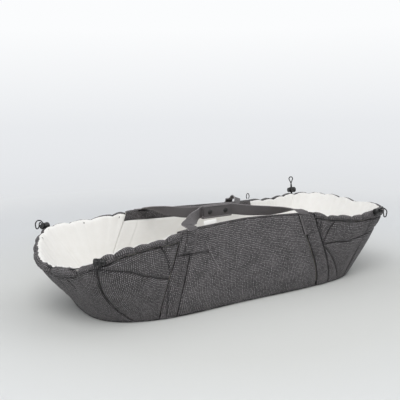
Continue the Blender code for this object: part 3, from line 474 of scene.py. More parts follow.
def link_colour(shader: Node, colour: Node,
                height: Node | bpy.types.NodeSocket, relief: float, strength: float = 0.6) -> None:
    """Links a colour and a bump height to a shader.

    Args:
        shader: The material's Principled shader.
        colour: The Mix node that the base colour comes from.
        height: Where the bump's height comes from.
        relief: Height of the bump, in metres.
        strength: Share of the bump that is used.
    """
    tree = shader.id_data
    tree.links.new(colour.outputs["Result"], shader.inputs["Base Color"])
    bump = add_node(tree, "Bump", {"Height": height, "Distance": relief, "Strength": strength})
    tree.links.new(bump.outputs["Normal"], shader.inputs["Normal"])


@dataclass(frozen=True)
class PinCheck:
    """Yarn-dyed polyester suiting in a pin check, the shell's outer cloth.

    Pale threads cross a charcoal ground in warp and weft. They show as a grid of small pale squares
    close by, and sink into an even grey from a few steps away.
    """

    name: str = "yarn_dyed_pin_check"
    dark: str = "#2b292a"
    light: str = "#8f8b8c"
    # Painted shade colour for the bottom of seams, creases and pinches.
    crease: str = "#161515"
    period: float = 3.2 * MM
    pale_share: float = 0.52
    half_tone: float = 0.08
    wander: float = 1.6
    roughness: float = 0.92

    def material(self) -> Material:
        """The cloth's material, on the piece's own UV map in metres.

        The attribute "fold" mixes in the crease colour: painted shade at the bottom of seams, creases and
        pinches, and under the casings.

        Returns:
            The new material.
        """
        made, node, shader = blank_material(self.name)
        flat = node("UVMap", uv_map="cloth")
        scale = (1 / self.period, 1 / self.period, 1.0)
        even = node("Mapping", {"Vector": flat, "Scale": scale})
        pull = node("TexNoise", {"Vector": flat, "Scale": 55.0, "Detail": 1.0})
        laid = node("VectorMath", {
            0: pull.outputs["Color"], 1: (self.wander, self.wander, 0.0), 2: even}, operation="MULTIPLY_ADD")
        split = node("SeparateXYZ", {0: laid})
        dyed = []
        for axis in ("X", "Y"):
            part = node("Math", {0: split.outputs[axis]}, operation="FRACT")
            dyed.append(node("Math", {0: part, 1: self.pale_share}, operation="LESS_THAN"))
        square = node("Math", {0: dyed[0], 1: dyed[1]}, operation="MULTIPLY")
        either = node("Math", {0: dyed[0], 1: dyed[1]})
        half = node("Math", {0: either, 1: self.half_tone}, operation="MULTIPLY")
        cell = node("VectorMath", {0: laid}, operation="FLOOR")
        chance = node("TexWhiteNoise", {"Vector": cell})
        yarn = node("Math", {0: chance.outputs["Value"], 1: 0.8, 2: 0.2}, operation="MULTIPLY_ADD")
        check = node("Math", {0: square, 1: yarn, 2: half}, operation="MULTIPLY_ADD")
        fibre = node("TexNoise", {"Vector": flat, "Scale": 900.0, "Detail": 2.0})
        cloud = node("TexNoise", {"Vector": flat, "Scale": 28.0, "Detail": 3.0})
        uneven = node("Math", {0: fibre, 1: cloud})
        shade = node("Math", {0: uneven, 1: 0.36, 2: -0.36}, operation="MULTIPLY_ADD")
        level = node("Math", {0: check, 1: shade}, use_clamp=True)
        ground = node("Mix", {"Factor": level, "A": self.dark, "B": self.light}, data_type="RGBA")
        # Painted shade: the fold attribute darkens the cloth toward the crease colour.
        fold = node("Attribute", attribute_name="fold")
        colour = node("Mix", {"Factor": fold.outputs["Fac"], "A": ground.outputs["Result"],
                              "B": self.crease}, data_type="RGBA")
        thread = node("TexVoronoi", {"Vector": flat, "Scale": 1 / (0.5 * MM), "Randomness": 0.25})
        link_colour(shader, colour, thread, 0.25 * MM)
        shader.inputs["Roughness"].default_value = self.roughness
        shader.inputs["Sheen Weight"].default_value = 0.08
        shader.inputs["Sheen Roughness"].default_value = 0.5
        return made


@dataclass(frozen=True)
class BrushedCotton:
    """Brushed cotton, undyed: a soft matt cloth with a short nap and a fine plain weave."""

    name: str = "brushed_cotton"
    base: str = "#f4f3f0"
    shade: str = "#eceae5"
    thread: float = 0.6 * MM

    def material(self) -> Material:
        """The lining's material, on the piece's own UV map in metres.

        Returns:
            The new material.
        """
        made, node, shader = blank_material(self.name)
        flat = node("UVMap", uv_map="cloth")
        nap = node("TexNoise", {"Vector": flat, "Scale": 60.0, "Detail": 4.0})
        colour = node("Mix", {"Factor": nap, "A": self.base, "B": self.shade}, data_type="RGBA")
        weave = node("TexVoronoi", {"Vector": flat, "Scale": 1 / self.thread, "Randomness": 0.4})
        link_colour(shader, colour, weave, 0.2 * MM, 0.4)
        shader.inputs["Roughness"].default_value = 0.95
        shader.inputs["Sheen Weight"].default_value = 0.15
        return made


@dataclass(frozen=True)
class RibbedWebbing:
    """Woven polypropylene webbing: cross ribs of flat yarn, paler along both edges, for its bound edges and
    as painted highlight on them.
    """

    name: str = "ribbed_polypropylene_webbing"
    dark: str = "#363334"
    light: str = "#6b6768"
    edge: str = "#8d898a"
    rib: float = 2.2 * MM
    half_round: float = 25.1 * MM
    pale_edge_width: float = 1.1 * MM

    def material(self) -> Material:
        """The webbing's material: U runs along it and V round it, in metres.

        Returns:
            The new material.
        """
        made, node, shader = blank_material(self.name)
        flat = node("UVMap", uv_map="cloth")
        ribs = node("TexWave", {"Vector": flat, "Scale": 1 / (self.rib * math.tau) * 2.0, "Distortion": 0.6,
                                "Detail": 2.0, "Detail Scale": 2.0}, bands_direction="X")
        yarn = node("TexNoise", {"Vector": flat, "Scale": 700.0, "Detail": 2.0})
        both = node("Mix", {"Factor": 0.45, "A": ribs.outputs["Fac"], "B": yarn})
        woven_in = node("Mix", {"Factor": both, "A": self.dark, "B": self.light}, data_type="RGBA")
        # Paler band along both edges: the bound edges, partly painted highlight.
        split = node("SeparateXYZ", {0: flat})
        inward = node("Math", {0: split.outputs["Y"], 1: self.half_round / 2}, operation="PINGPONG")
        pale_edge_band = node("Math", {0: inward, 1: self.pale_edge_width}, operation="LESS_THAN")
        colour = node("Mix", {"Factor": pale_edge_band, "A": woven_in.outputs["Result"], "B": self.edge},
                      data_type="RGBA")
        link_colour(shader, colour, both, 0.35 * MM)
        shader.inputs["Roughness"].default_value = 0.78
        shader.inputs["Sheen Weight"].default_value = 0.06
        return made


@dataclass(frozen=True)
class MouldedNylon:
    """Injection-moulded nylon, dyed through: nearly black, with a fine spark-eroded grain."""

    name: str = "moulded_black_nylon"
    base: str = "#0d0d0e"
    worn: str = "#19191a"
    roughness: float = 0.4

    def material(self) -> Material:
        """The plastic's material, on Object coordinates.

        Returns:
            The new material.
        """
        made, node, shader = blank_material(self.name)
        place = node("TexCoord").outputs["Object"]
        grain = node("TexNoise", {"Vector": place, "Scale": 1800.0, "Detail": 2.0})
        wear = node("TexNoise", {"Vector": place, "Scale": 160.0, "Detail": 3.0})
        colour = node("Mix", {"Factor": wear, "A": self.base, "B": self.worn}, data_type="RGBA")
        link_colour(shader, colour, grain, 0.05 * MM, 0.4)
        shader.inputs["Roughness"].default_value = self.roughness
        shader.inputs["IOR"].default_value = 1.53
        return made


@dataclass(frozen=True)
class BraidedElastic:
    """Elastic cord with a braided black polyester sheath: two sets of yarns that cross aslant."""

    name: str = "braided_elastic_cord"
    base: str = "#0c0c0d"
    light: str = "#262628"
    pitch: float = 1.4 * MM

    def material(self) -> Material:
        """The cord's material: U runs along it and V round it, in metres.

        Returns:
            The new material.
        """
        made, node, shader = blank_material(self.name)
        flat = node("UVMap", uv_map="cloth")
        aslant = node("Mapping", {"Vector": flat, "Rotation": (0.0, 0.0, math.radians(45.0))})
        braid = node("TexChecker", {"Vector": aslant, "Scale": 1 / self.pitch, "Color1": (1, 1, 1, 1),
                                    "Color2": (0, 0, 0, 1)})
        colour = node("Mix", {"Factor": braid.outputs["Fac"], "A": self.base, "B": self.light},
                      data_type="RGBA")
        link_colour(shader, colour, braid.outputs["Fac"], 0.15 * MM)
        shader.inputs["Roughness"].default_value = 0.7
        return made


@dataclass(frozen=True)
class Plain:
    """A plain finish of one stuff with a fine grain: sewing thread, label tape, foam, board or steel."""

    name: str
    base: str
    shade: str
    grain: float
    relief: float
    roughness: float
    metallic: float = 0.0

    def material(self) -> Material:
        """The stuff's material, on Object coordinates.

        Returns:
            The new material.
        """
        made, node, shader = blank_material(self.name)
        place = node("TexCoord").outputs["Object"]
        grain = node("TexNoise", {"Vector": place, "Scale": 1 / self.grain, "Detail": 3.0})
        colour = node("Mix", {"Factor": grain, "A": self.base, "B": self.shade}, data_type="RGBA")
        link_colour(shader, colour, grain, self.relief, 0.5)
        shader.inputs["Roughness"].default_value = self.roughness
        shader.inputs["Metallic"].default_value = self.metallic
        return made


class Finish(Enum):
    """Every finish of the carrier, with the record's slot that it belongs to."""

    CLOTH = (PinCheck(), "cloth")
    BAND = (PinCheck("band_pin_check", "#282627", "#8a8687"), "band")
    FACING = (PinCheck("hem_pin_check", "#2c2a2b", "#807c7d"), "band")
    LINING = (BrushedCotton(), "lining")
    WEBBING = (RibbedWebbing(), "webbing")
    NYLON = (MouldedNylon(), "plastic")
    CORD = (BraidedElastic(), "cord")
    THREAD = (Plain("spun_polyester_thread", "#1f1e1f", "#3a383a", 0.3 * MM, 0.05 * MM, 0.6), "cloth")
    GREY_THREAD = (Plain("grey_polyester_thread", "#9a9697", "#7f7b7c", 0.3 * MM, 0.05 * MM, 0.6), "cloth")
    FOAM = (Plain("open_cell_foam", "#dedacd", "#cfc9b8", 0.8 * MM, 0.3 * MM, 0.95), "foam")
    BOARD = (Plain("extruded_polypropylene_board", "#262628", "#303033", 2.0 * MM, 0.05 * MM, 0.6), "board")
    LABEL = (Plain("woven_label_tape", "#f4f3ef", "#e6e5e0", 0.5 * MM, 0.05 * MM, 0.7), "label")
    STEEL = (Plain("spring_steel_wire", "#c9c9cb", "#b0b0b4", 0.6 * MM, 0.01 * MM, 0.28, 1.0), "metal")

    def material(self) -> Material:
        """The finish's material, made once."""
        recipe = self.value[0]
        return bpy.data.materials.get(recipe.name) or recipe.material()

    def dress(self, piece: Piece) -> Piece:
        """Gives a piece this finish.

        Args:
            piece: The piece.

        Returns:
            The same piece.
        """
        piece.data.materials.clear()
        piece.data.materials.append(self.material())
        return piece


def corners_of(mesh: bpy.types.Mesh) -> Pair:
    """A mesh's points, and the point's number at each face corner.

    Args:
        mesh: The mesh.

    Returns:
        The points, and their numbers.
    """
    flat = np.empty(len(mesh.vertices) * 3, np.float32)
    mesh.vertices.foreach_get("co", flat)
    corner = np.empty(len(mesh.loops), np.int32)
    mesh.loops.foreach_get("vertex_index", corner)
    return flat.reshape(-1, 3), corner


def lay_flat(mesh: bpy.types.Mesh, lengths: Array) -> None:
    """Stores flat coordinates, one pair a face corner, as the cloth's UV map."""
    layer = mesh.uv_layers.get("cloth") or mesh.uv_layers.new(name="cloth")
    layer.data.foreach_set("uv", np.ascontiguousarray(lengths, np.float32).ravel())


def settle(piece: Piece, body: str, *nodes: str) -> Piece:
    """Puts a piece on its body, says which nodes it stands for and reports it.

    Args:
        piece: The piece.
        body: The body that it moves with.
        nodes: The nodes that it stands for.

    Returns:
        The same piece.
    """
    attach(piece, body)
    if nodes:
        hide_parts(*nodes)
    LOG.info("%s: %d faces on %s", piece.name, len(piece.data.polygons), body)
    return piece


def object_of(bm: bmesh.types.BMesh, name: str, sharp: float = 50.0) -> Piece:
    """Makes a bmesh into a linked object, shaded smooth but for sharp corners.

    Args:
        bm: The bmesh, which is freed.
        name: The piece's name.
        sharp: Least angle of a sharp corner, in degrees.

    Returns:
        The new object.
    """
    mesh = bpy.data.meshes.new(name)
    bm.to_mesh(mesh)
    bm.free()
    mesh.shade_smooth()
    mesh.set_sharp_from_angle(angle=math.radians(sharp))
    made = bpy.data.objects.new(name, mesh)
    bpy.context.scene.collection.objects.link(made)
    return made


Place = Callable[[Array, Array], Pair]


def evaluated(piece: Piece) -> bpy.types.Mesh:
    """A new mesh of a piece with its modifiers applied."""
    return bpy.data.meshes.new_from_object(piece.evaluated_get(bpy.context.evaluated_depsgraph_get()))


def thicken(piece: Piece, thick: float, offset: float) -> bpy.types.Modifier:
    """Gives a sheet its thickness.

    Args:
        piece: The piece.
        thick: Its thickness.
        offset: -1 for inward, 1 for outward.

    Returns:
        The modifier.
    """
    shell = piece.modifiers.new("thickness", "SOLIDIFY")
    shell.thickness, shell.offset = thick, offset
    return shell


def woven(name: str, columns: int, rows: int, place: Place, finish: Finish, closed: bool = False,
          thick: float = 0.0, fold: Callable[[Array, Array], Array] | None = None) -> Piece:
    """A piece of cloth: a grid whose corners are put where place says, with its flat size as UV.

    Args:
        name: The piece's name.
        columns: Cells along U.
        rows: Cells along V.
        place: Gives points and flat coordinates from U and V, each from 0 to 1.
        finish: The cloth's finish.
        closed: Whether edges that meet are joined into one closed form.
        thick: Thickness added inward, for an open sheet.
        fold: Gives the painted shade at each place, from 0 to 1, by how deep in a crease it lies.

    Returns:
        The new object.
    """
    bm = bmesh.new()
    bmesh.ops.create_grid(bm, x_segments=columns, y_segments=rows, size=0.5)
    mesh = bpy.data.meshes.new(name)
    bm.to_mesh(mesh)
    bm.free()
    flat, corner = corners_of(mesh)
    u, v = (flat[:, :2].astype(float) + 0.5).clip(0.0, 1.0).T
    points, lengths = place(u, v)
    mesh.vertices.foreach_set("co", np.ascontiguousarray(points, np.float32).ravel())
    lay_flat(mesh, lengths[corner])
    # The fold attribute holds painted shade, which the pin check mixes in as its crease colour.
    if fold:
        depth = mesh.attributes.new("fold", "FLOAT", "POINT")
        depth.data.foreach_set("value", np.ascontiguousarray(fold(u, v), np.float32))
    bm = bmesh.new()
    bm.from_mesh(mesh)
    bpy.data.meshes.remove(mesh)
    if closed:
        bmesh.ops.remove_doubles(bm, verts=bm.verts, dist=0.002 * MM)
        open_edges = [edge for edge in bm.edges if edge.is_boundary]
        if open_edges:
            bmesh.ops.holes_fill(bm, edges=open_edges)
        bmesh.ops.recalc_face_normals(bm, faces=bm.faces)
        if bm.calc_volume(signed=True) < 0:
            bmesh.ops.reverse_faces(bm, faces=bm.faces)
    made = finish.dress(object_of(bm, name))
    if thick:
        thicken(made, thick, -1.0).use_quality_normals = True
    return made


def declare_sheet(piece: Piece, place: Place, across: float, held: str, *rests_on: str) -> None:
    """Works out the cut's height from a sheet's flat coordinates, and keeps nothing.

    Args:
        piece: The woven piece. Not used.
        place: What it was woven with; its flat coordinates give the cut's height.
        across: The cut's width. Not used.
        held: How the sheet is held. Not used.
        rests_on: The pieces that it lies on or hangs from. Not used.
    """
    u = np.linspace(0.0, 1.0, 60)
    tall = place(u, np.ones(60))[1][:, 1] - place(u, np.zeros(60))[1][:, 1]


def swept(name: str, line: Array, wide: Array, section: Array, finish: Finish) -> Piece:
    """A closed form with one cross-section drawn along a line.

    Args:
        name: The piece's name.
        line: Centre points.
        wide: Direction of the section's first axis at each point.
        section: The section's closed outline, as offsets along the first and second axis.
        finish: The piece's finish.

    Returns:
        The new object.
    """
    ahead = unit(np.gradient(line, axis=0))
    wide = unit(wide - ahead * np.sum(wide * ahead, axis=1, keepdims=True))
    deep = np.cross(ahead, wide)
    run = run_along(line)
    loop = np.concatenate([section, section[:1]])
    round_it = run_along(loop)

    def place(u: Array, v: Array) -> Pair:
        """Points, and their flat coordinates."""
        i = np.rint(u * (len(line) - 1)).astype(int)
        j = np.rint(v * (len(loop) - 1)).astype(int)
        points = line[i] + wide[i] * loop[j][:, :1] + deep[i] * loop[j][:, 1:]
        return points, np.stack([run[i], round_it[j]], axis=1)

    return woven(name, len(line) - 1, len(loop) - 1, place, finish, closed=True)


def curve_through(stops: Array, steps: int) -> Array:
    """Evenly numbered points on the smooth curve through rows of stops.

    Args:
        stops: Rows of numbers to pass through.
        steps: How many steps.

    Returns:
        The points.
    """
    place = np.linspace(0.0, len(stops) - 1.0, steps)
    low = np.minimum(place.astype(int), len(stops) - 2)
    t = (place - low)[:, None]
    a, b, c, d = (stops[np.clip(low + i, 0, len(stops) - 1)] for i in (-1, 0, 1, 2))
    turn = (a * 2 - b * 5 + c * 4 - d) * t * t + (b * 3 - a - c * 3 + d) * t**3
    return b + ((c - a) * t + turn) / 2


def evenly(line: Array, spacing: float) -> Array:
    """The same line with its points an even distance apart.

    Args:
        line: Points along it.
        spacing: Distance between points.

    Returns:
        The new line.
    """
    run = run_along(line)
    steps = np.linspace(0.0, run[-1], max(int(round(run[-1] / spacing)), 2) + 1)
    return np.stack([np.interp(steps, run, line[:, axis]) for axis in range(line.shape[1])], axis=1)


def turned(profile: Rows, steps: int, weld: float = 0.01 * MM) -> bmesh.types.BMesh:
    """A form turned about Z, from rows of radius and height.

    Args:
        profile: Rows of radius and height.
        steps: How many steps.
        weld: Distance within which points join.

    Returns:
        The form, which is closed.
    """
    bm = bmesh.new()
    verts = [bm.verts.new((radius, 0.0, height)) for radius, height in profile]
    edges = [bm.edges.new(pair) for pair in zip(verts, verts[1:])]
    bmesh.ops.spin(bm, geom=verts + edges, cent=(0, 0, 0), axis=(0, 0, 1), angle=math.tau,
                   steps=steps, use_merge=True)
    bmesh.ops.remove_doubles(bm, verts=bm.verts, dist=weld)
    bmesh.ops.recalc_face_normals(bm, faces=bm.faces)
    return bm


def rounded_section(width: float, depth: float, radius: float, corner: int = 4) -> Array:
    """The closed outline of a rectangle with round corners.

    Args:
        width: Its width.
        depth: Its depth.
        radius: Its radius.
        corner: Steps in each round corner.

    Returns:
        The outline's points.
    """
    points = []
    for quadrant, (a, b) in enumerate(((1, 1), (-1, 1), (-1, -1), (1, -1))):
        for step in range(corner + 1):
            turn = math.pi / 2 * (quadrant + step / corner)
            points.append((a * (width / 2 - radius) + radius * math.cos(turn),
                           b * (depth / 2 - radius) + radius * math.sin(turn)))
    return np.array(points)


def round_section(radius: float, sides: int = 12) -> Array:
    """The closed outline of a circle."""
    turns = np.arange(sides) * math.tau / sides
    return np.stack([np.cos(turns), np.sin(turns)], axis=1) * radius


def tube_along(name: str, line: Array, radius: float, finish: Finish, sides: int = 12) -> Piece:
    """A round cord along a line, its section carried along without twist.

    Args:
        name: The piece's name.
        line: Points along it.
        radius: Its radius.
        finish: The piece's finish.
        sides: Sides of the section.

    Returns:
        The new object.
    """
    ahead = unit(np.gradient(line, axis=0))
    wide = np.zeros_like(line)
    wide[0] = np.cross(ahead[0], [0.3, 0.2, 0.93])
    for i in range(1, len(line)):
        wide[i] = wide[i - 1] - ahead[i] * np.dot(wide[i - 1], ahead[i])
        wide[i] /= np.linalg.norm(wide[i])
    return swept(name, line, wide, round_section(radius, sides), finish)


def stitches(name: str, rows: Sequence[Pair], finish: Finish, pitch: float = 3.2 * MM,
             thread: float = 0.34 * MM) -> Piece:
    """Rows of lockstitch: a short length of thread for each stitch, sunk at both its ends.

    Args:
        name: The piece's name.
        rows: For each row, its points on the cloth and the cloth's outward directions.
        finish: The thread's finish.
        pitch: Length of a stitch.
        thread: Half the thread's thickness.

    Returns:
        The new object.
    """
    bm = bmesh.new()
    for line, out in rows:
        even = evenly(np.hstack([line, out]), pitch)
        for a, b in zip(even, even[1:]):
            ahead = Vector(b[:3] - a[:3])
            if ahead.length < 0.3 * pitch:
                continue
            lift = Vector(a[3:] + b[3:]).normalized()
            aim = Matrix.Translation(Vector(a[:3] + b[:3]) / 2 + lift * thread * 0.5)
            x = ahead.normalized()
            y = lift.cross(x).normalized()
            turn = Matrix((x, y, x.cross(y))).transposed().to_4x4()
            size = Matrix.Diagonal((ahead.length * 0.42, thread, thread, 1.0))
            bmesh.ops.create_icosphere(bm, subdivisions=1, radius=1.0, matrix=aim @ turn @ size)
    return finish.dress(object_of(bm, name, 180.0))


def inflate(piece: Piece, voxel: float, pressure: float, cap: float, frames: int = 18) -> None:
    """Swells a closed pad as real cloth under pressure, and keeps the result as its mesh.

    Args:
        piece: The pad.
        voxel: Size of the even cells that the pad is rebuilt from.
        pressure: Pressure inside the cloth.
        cap: The furthest that a point may move.
        frames: Steps of the simulation.
    """
    remesh = piece.modifiers.new("even cells", "REMESH")
    remesh.mode = "VOXEL"
    remesh.voxel_size = voxel
    mesh = evaluated(piece)
    piece.modifiers.clear()
    piece.data = mesh
    before, _ = corners_of(mesh)
    cloth = piece.modifiers.new("cloth", "CLOTH")
    cloth.settings.use_pressure = True
    cloth.settings.uniform_pressure_force = pressure
    cloth.settings.effector_weights.gravity = 0.0
    cloth.settings.mass = 0.15
    cloth.settings.quality = 6
    cloth.point_cache.frame_start, cloth.point_cache.frame_end = 1, frames
    scene = bpy.context.scene
    for frame in range(1, frames + 1):
        scene.frame_set(frame)
    swollen = evaluated(piece)
    shift = corners_of(swollen)[0] - before
    far = np.linalg.norm(shift, axis=1, keepdims=True)
    shift *= np.minimum(1.0, cap / np.maximum(far, 1e-9))
    mesh.vertices.foreach_set("co", (before + shift).ravel())
    piece.modifiers.clear()
    bpy.data.meshes.remove(swollen)
    scene.frame_set(1)
    mesh.shade_smooth()


@dataclass
class Crease:
    """A line along which the padded cloth is sewn down or folded in."""

    places: Places
    depth: float = 3.0 * MM
    width: float = 2.0 * MM

    def distance(self, seam: Array, rise: Array) -> Array:
        """How far places on the cloth lie from the line, in metres.

        Args:
            seam: Seam numbers.
            rise: Shares of the wall's height.

        Returns:
            Distances, in metres.
        """
        s, h = WALL.chart(seam, rise)
        ends = np.array(self.places)
        nearest = np.full_like(s, 9.0)
        for once_round in (-RING, 0.0, RING):
            line_s, line_h = WALL.chart(ends[:, 0] + once_round, ends[:, 1])
            for i in range(len(ends) - 1):
                ds, dh = line_s[i + 1] - line_s[i], line_h[i + 1] - line_h[i]
                if ds * ds + dh * dh < MM * MM:
                    continue
                t = ((s - line_s[i]) * ds + (h - line_h[i]) * dh) / (ds * ds + dh * dh)
                t = np.clip(t, 0.0, 1.0)
                nearest = np.minimum(nearest, np.hypot(s - line_s[i] - t * ds, h - line_h[i] - t * dh))
        return nearest


def mirrored(places: Places, side: Side) -> Places:
    """Places of the near side, or the same ones on the far side."""
    return places if side is Side.NEAR else tuple((8.0 - seam, rise) for seam, rise in places)


@dataclass
class Shell:
    """The sewn outer cloth: side panels, carry bands, gussets, end caps and underside."""

    cell: float = 1.7 * MM
    padding: float = 3.2 * MM
    padding_reach: float = 9.0 * MM
    seam_sink: float = 3.0 * MM
    seam_width: float = 1.9 * MM
    plain_seams: tuple[int, int] = (3, 5)
    broad_wave: float = 0.9 * MM
    fine_wave: float = 0.35 * MM
    stitch_inset: float = 3.4 * MM
    band_raise: float = 1.2 * MM
    under_facing: float = 3.4 * MM
    casing_gap: float = 0.6 * MM
    panels: tuple = (
        ("near_side_panel", -1, 1), ("far_side_panel", 7, 9), ("foot_near_band", 1, 2),
        ("foot_far_band", 6, 7), ("head_far_band", 9, 10), ("head_near_band", -2, -1),
        ("foot_near_gusset", 2, 3), ("foot_end_cap", 3, 5), ("foot_far_gusset", 5, 6),
        ("head_far_gusset", 10, 11), ("head_end_cap", 11, 13), ("head_near_gusset", -3, -2),
    )
    head_star: tuple = (
        ((-2.0, 0.54), (-2.12, 0.72), (-2.30, 0.93)),
        ((-2.0, 0.52), (-2.25, 0.56), (-2.49, 0.64), (-2.67, 0.75), (-2.83, 0.83), (-3.0, 0.91)),
        ((-3.0, 0.97), (-3.0, 0.0)),
    )
    foot_star: tuple = (
        ((2.0, 0.60), (2.16, 0.76), (2.32, 0.93)),
        ((2.0, 0.60), (2.6, 0.64), (3.25, 0.73)),
        ((2.0, 0.60), (2.24, 0.34), (2.50, 0.06)),
    )
    band_fold: tuple = ((2.12, 0.96), (2.03, 0.80), (2.0, 0.60))
    tucks: tuple = (
        ((-2.0, 0.755), (-1.0, 0.745), (-0.70, 0.72)),
        ((-3.47, 0.90), (-3.46, 0.78), (-3.40, 0.66)),
        ((-1.94, 0.45), (-1.70, 0.20), (-1.62, 0.02)),
    )
    pale_row: tuple = ((-0.78, 0.86), (-0.70, 0.76), (-0.58, 0.60), (-0.47, 0.46))
    band_rows: tuple = (((-1.50, 0.97), (-1.50, 0.02)),)

    def __post_init__(self) -> None:
        """Lists the creases of both sides."""
        self.creases = []
        for side in Side:
            for places in self.head_star + self.foot_star + (self.band_fold,):
                self.creases.append(Crease(mirrored(places, side)))
            cap_dart = ((3.0, 0.70), (3.4, 0.75), (3.8, 0.80))
            self.creases.append(Crease(mirrored(cap_dart, side), 1.6 * MM))
            for places in self.band_rows:
                self.creases.append(Crease(mirrored(places, side), 0.8 * MM, 1.2 * MM))
        for places in self.tucks:
            self.creases.append(Crease(places, 2.4 * MM))

    def relief(self, name: str, first: float, last: float, seam: Array, rise: Array, top: Array) -> Array:
        """How far the cloth of a panel stands out from the plain wall.

        Args:
            name: The panel's name.
            first: Its first seam number.
            last: Its last seam number.
            seam: Seam numbers.
            rise: Shares of the wall's height.
            top: Share of the height where the panel ends.

        Returns:
            Heights over the plain wall.
        """
        s, h = WALL.chart(seam, rise)
        ends = WALL.run([first, last])
        _, h_top = WALL.chart(seam, top)
        sides = np.minimum(s - ends[0], ends[1] - s)
        edge = np.minimum(np.minimum(sides, h + 2 * MM), h_top - h + 1 * MM)
        plain = np.isin(np.rint(np.mod(seam, RING)), self.plain_seams)
        sunk = np.where(plain, 0.3, 1.0) * self.seam_sink * bell(sides, self.seam_width)
        sunk += 1.6 * MM * bell(h_top - h, 2.0 * MM)
        near = edge
        for crease in self.creases:
            away = crease.distance(seam, rise)
            if away.min() > 0.03:
                continue
            sunk = np.maximum(sunk, crease.depth * bell(away, crease.width))
            near = np.minimum(near, away + (1 - crease.depth / (3.0 * MM)) * 8 * MM)
        out = self.padding * (1.0 - np.exp(-np.maximum(near, 0) / self.padding_reach)) - sunk
        out += self.broad_wave * undulation(s, h, 3, 0.075) * smoothstep(0.0, 0.02, edge)
        out += self.fine_wave * undulation(s, h, 8, 0.022) * smoothstep(0.0, 0.015, edge)
        if is_gathered((first + last) / 2):
            out += self.gathers(s, h_top - h)
        if name.endswith("band"):
            out += self.band_raise
        return out

    def painted_seam_shade(self, first: float, last: float, seam: Array, rise: Array, top: Array) -> Array:
        """Painted shade in a panel's seams and creases and just under its top, from 0 to 1.

        Args:
            first: Its first seam number.
            last: Its last seam number.
            seam: Seam numbers.
            rise: Shares of the wall's height.
            top: Share of the height where the panel ends.

        Returns:
            Depths from 0 to 1.
        """
        s, h = WALL.chart(seam, rise)
        _, h_top = WALL.chart(seam, top)
        ends = WALL.run([first, last])
        # Painted shade under the casing or facing, in the seams and along each crease.
        below = (h_top - h) * (0.6 if is_gathered(seam).mean() > 0.5 else 1.2)
        away = np.minimum(np.minimum(s - ends[0], ends[1] - s), below)
        plain = np.isin(np.rint(np.mod(seam, RING)), self.plain_seams) & (away < below)
        deep = np.where(plain, 0.2, 0.75) * bell(away, 1.1 * MM)
        for crease in self.creases:
            away = crease.distance(seam, rise)
            dark = min(crease.depth / (3.0 * MM), 1.0) * 0.85
            deep = np.maximum(deep, dark * bell(away, 1.2 * MM))
        return deep

    @staticmethod
    def gathers(s: Array, below: Array) -> Array:
        """Folds that hang from the drawn-up casing and fade down the wall.

        Args:
            s: Places along the cloth.
            below: Distances below the casing.

        Returns:
            Heights of the folds.
        """
        warped = s + 0.004 * np.sin(s / 0.031) + 0.003 * np.sin(s / 0.0123 + 1.0)
        broad = np.abs(np.sin(math.pi * warped / 0.036)) - 0.6
        fine = np.sin(math.tau * (warped + below * 0.12) / 0.0085)
        return (2.6 * MM * broad * np.exp(-below / 0.022)
                + 0.5 * MM * fine * np.exp(-below / 0.010)) * smoothstep(-0.001, 0.004, below)

    def panel(self, name: str, first: int, last: int) -> None:
        """Makes one sewn panel and puts it in place of its node.

        Args:
            name: The piece's name.
            first: Its first seam number.
            last: Its last seam number.
        """
        width = WALL.run([first, last])
        columns = int((width[1] - width[0]) / self.cell)
        rows = int(0.17 / self.cell)
        finish = Finish.BAND if name.endswith("band") else Finish.CLOTH

        def spot(u: Array, v: Array) -> tuple[Array, Array, Array]:
            """Seam numbers, shares of the height and the panel's top."""
            seam = first + (last - first) * u
            top = self.top_of(first, last, seam)
            return seam, v * top, top

        def fold(u: Array, v: Array) -> Array:
            """Painted shade in the panel's seams and creases and under its top edge."""
            return self.painted_seam_shade(first, last, *spot(u, v))

        def place(u: Array, v: Array) -> Pair:
            """Points, and their flat coordinates."""
            seam, rise, top = spot(u, v)
            here, along, _, out = WALL.frame(self.bowed(seam, rise), rise)
            stand = self.relief(name, first, last, seam, rise, top)
            short = 0.15 * MM * ((u < 1e-6).astype(float) - (u > 1 - 1e-6))
            s, h = WALL.chart(seam, rise)
            return here + out * stand[:, None] + along * short[:, None], np.stack([s, h], axis=1)

        piece = woven(name + "_cloth", columns, rows, place, finish, thick=1.6 * MM, fold=fold)
        settle(piece, "shell", name)
        declare_sheet(piece, place, width[1] - width[0], "stretched")

    @staticmethod
    def bowed(seam: Array, rise: Array) -> Array:
        """Seam numbers with the two seams of the head's cap bowed toward the tip at half height.

        Args:
            seam: Seam numbers.
            rise: Shares of the wall's height.

        Returns:
            The seam numbers.
        """
        away = np.abs(np.abs(np.mod(seam, RING) - 12.0) - 1.0)
        tent = smoothstep(1.0, 0.0, away) * np.sign(12.0 - np.mod(seam, RING))
        return seam + 0.2 * tent * np.sin(math.pi * np.clip(rise, 0.0, 1.0) ** 0.8)

    def top_of(self, first: float, last: float, seam: Array) -> Array:
        """Shares of the wall's height where a panel ends, under its facing or casing.

        Args:
            first: Its first seam number.
            last: Its last seam number.
            seam: Seam numbers.

        Returns:
            The shares.
        """
        gathered = is_gathered((first + last) / 2)
        drop = GATHERS.at(seam)[1] + self.casing_gap if gathered else np.full_like(seam, self.under_facing)
        return WALL.below_rim(seam, drop)

    def underside(self) -> None:
        """The flat bottom panel, its edge turned in at the bottom seam."""
        profile = ((0.0, 3.0), (0.5, 3.0), (0.9, 3.0), (0.975, 3.0), (0.99, 2.8), (1.0, 2.1), (1.0, 1.2),
                   (0.992, 0.35), (0.975, 0.0), (0.8, 0.0), (0.4, 0.0), (0.0, 0.0))
        piece = pad_from_base("bottom_panel_cloth", 0.0, profile, Finish.CLOTH)
        settle(piece, "shell", "bottom_panel")

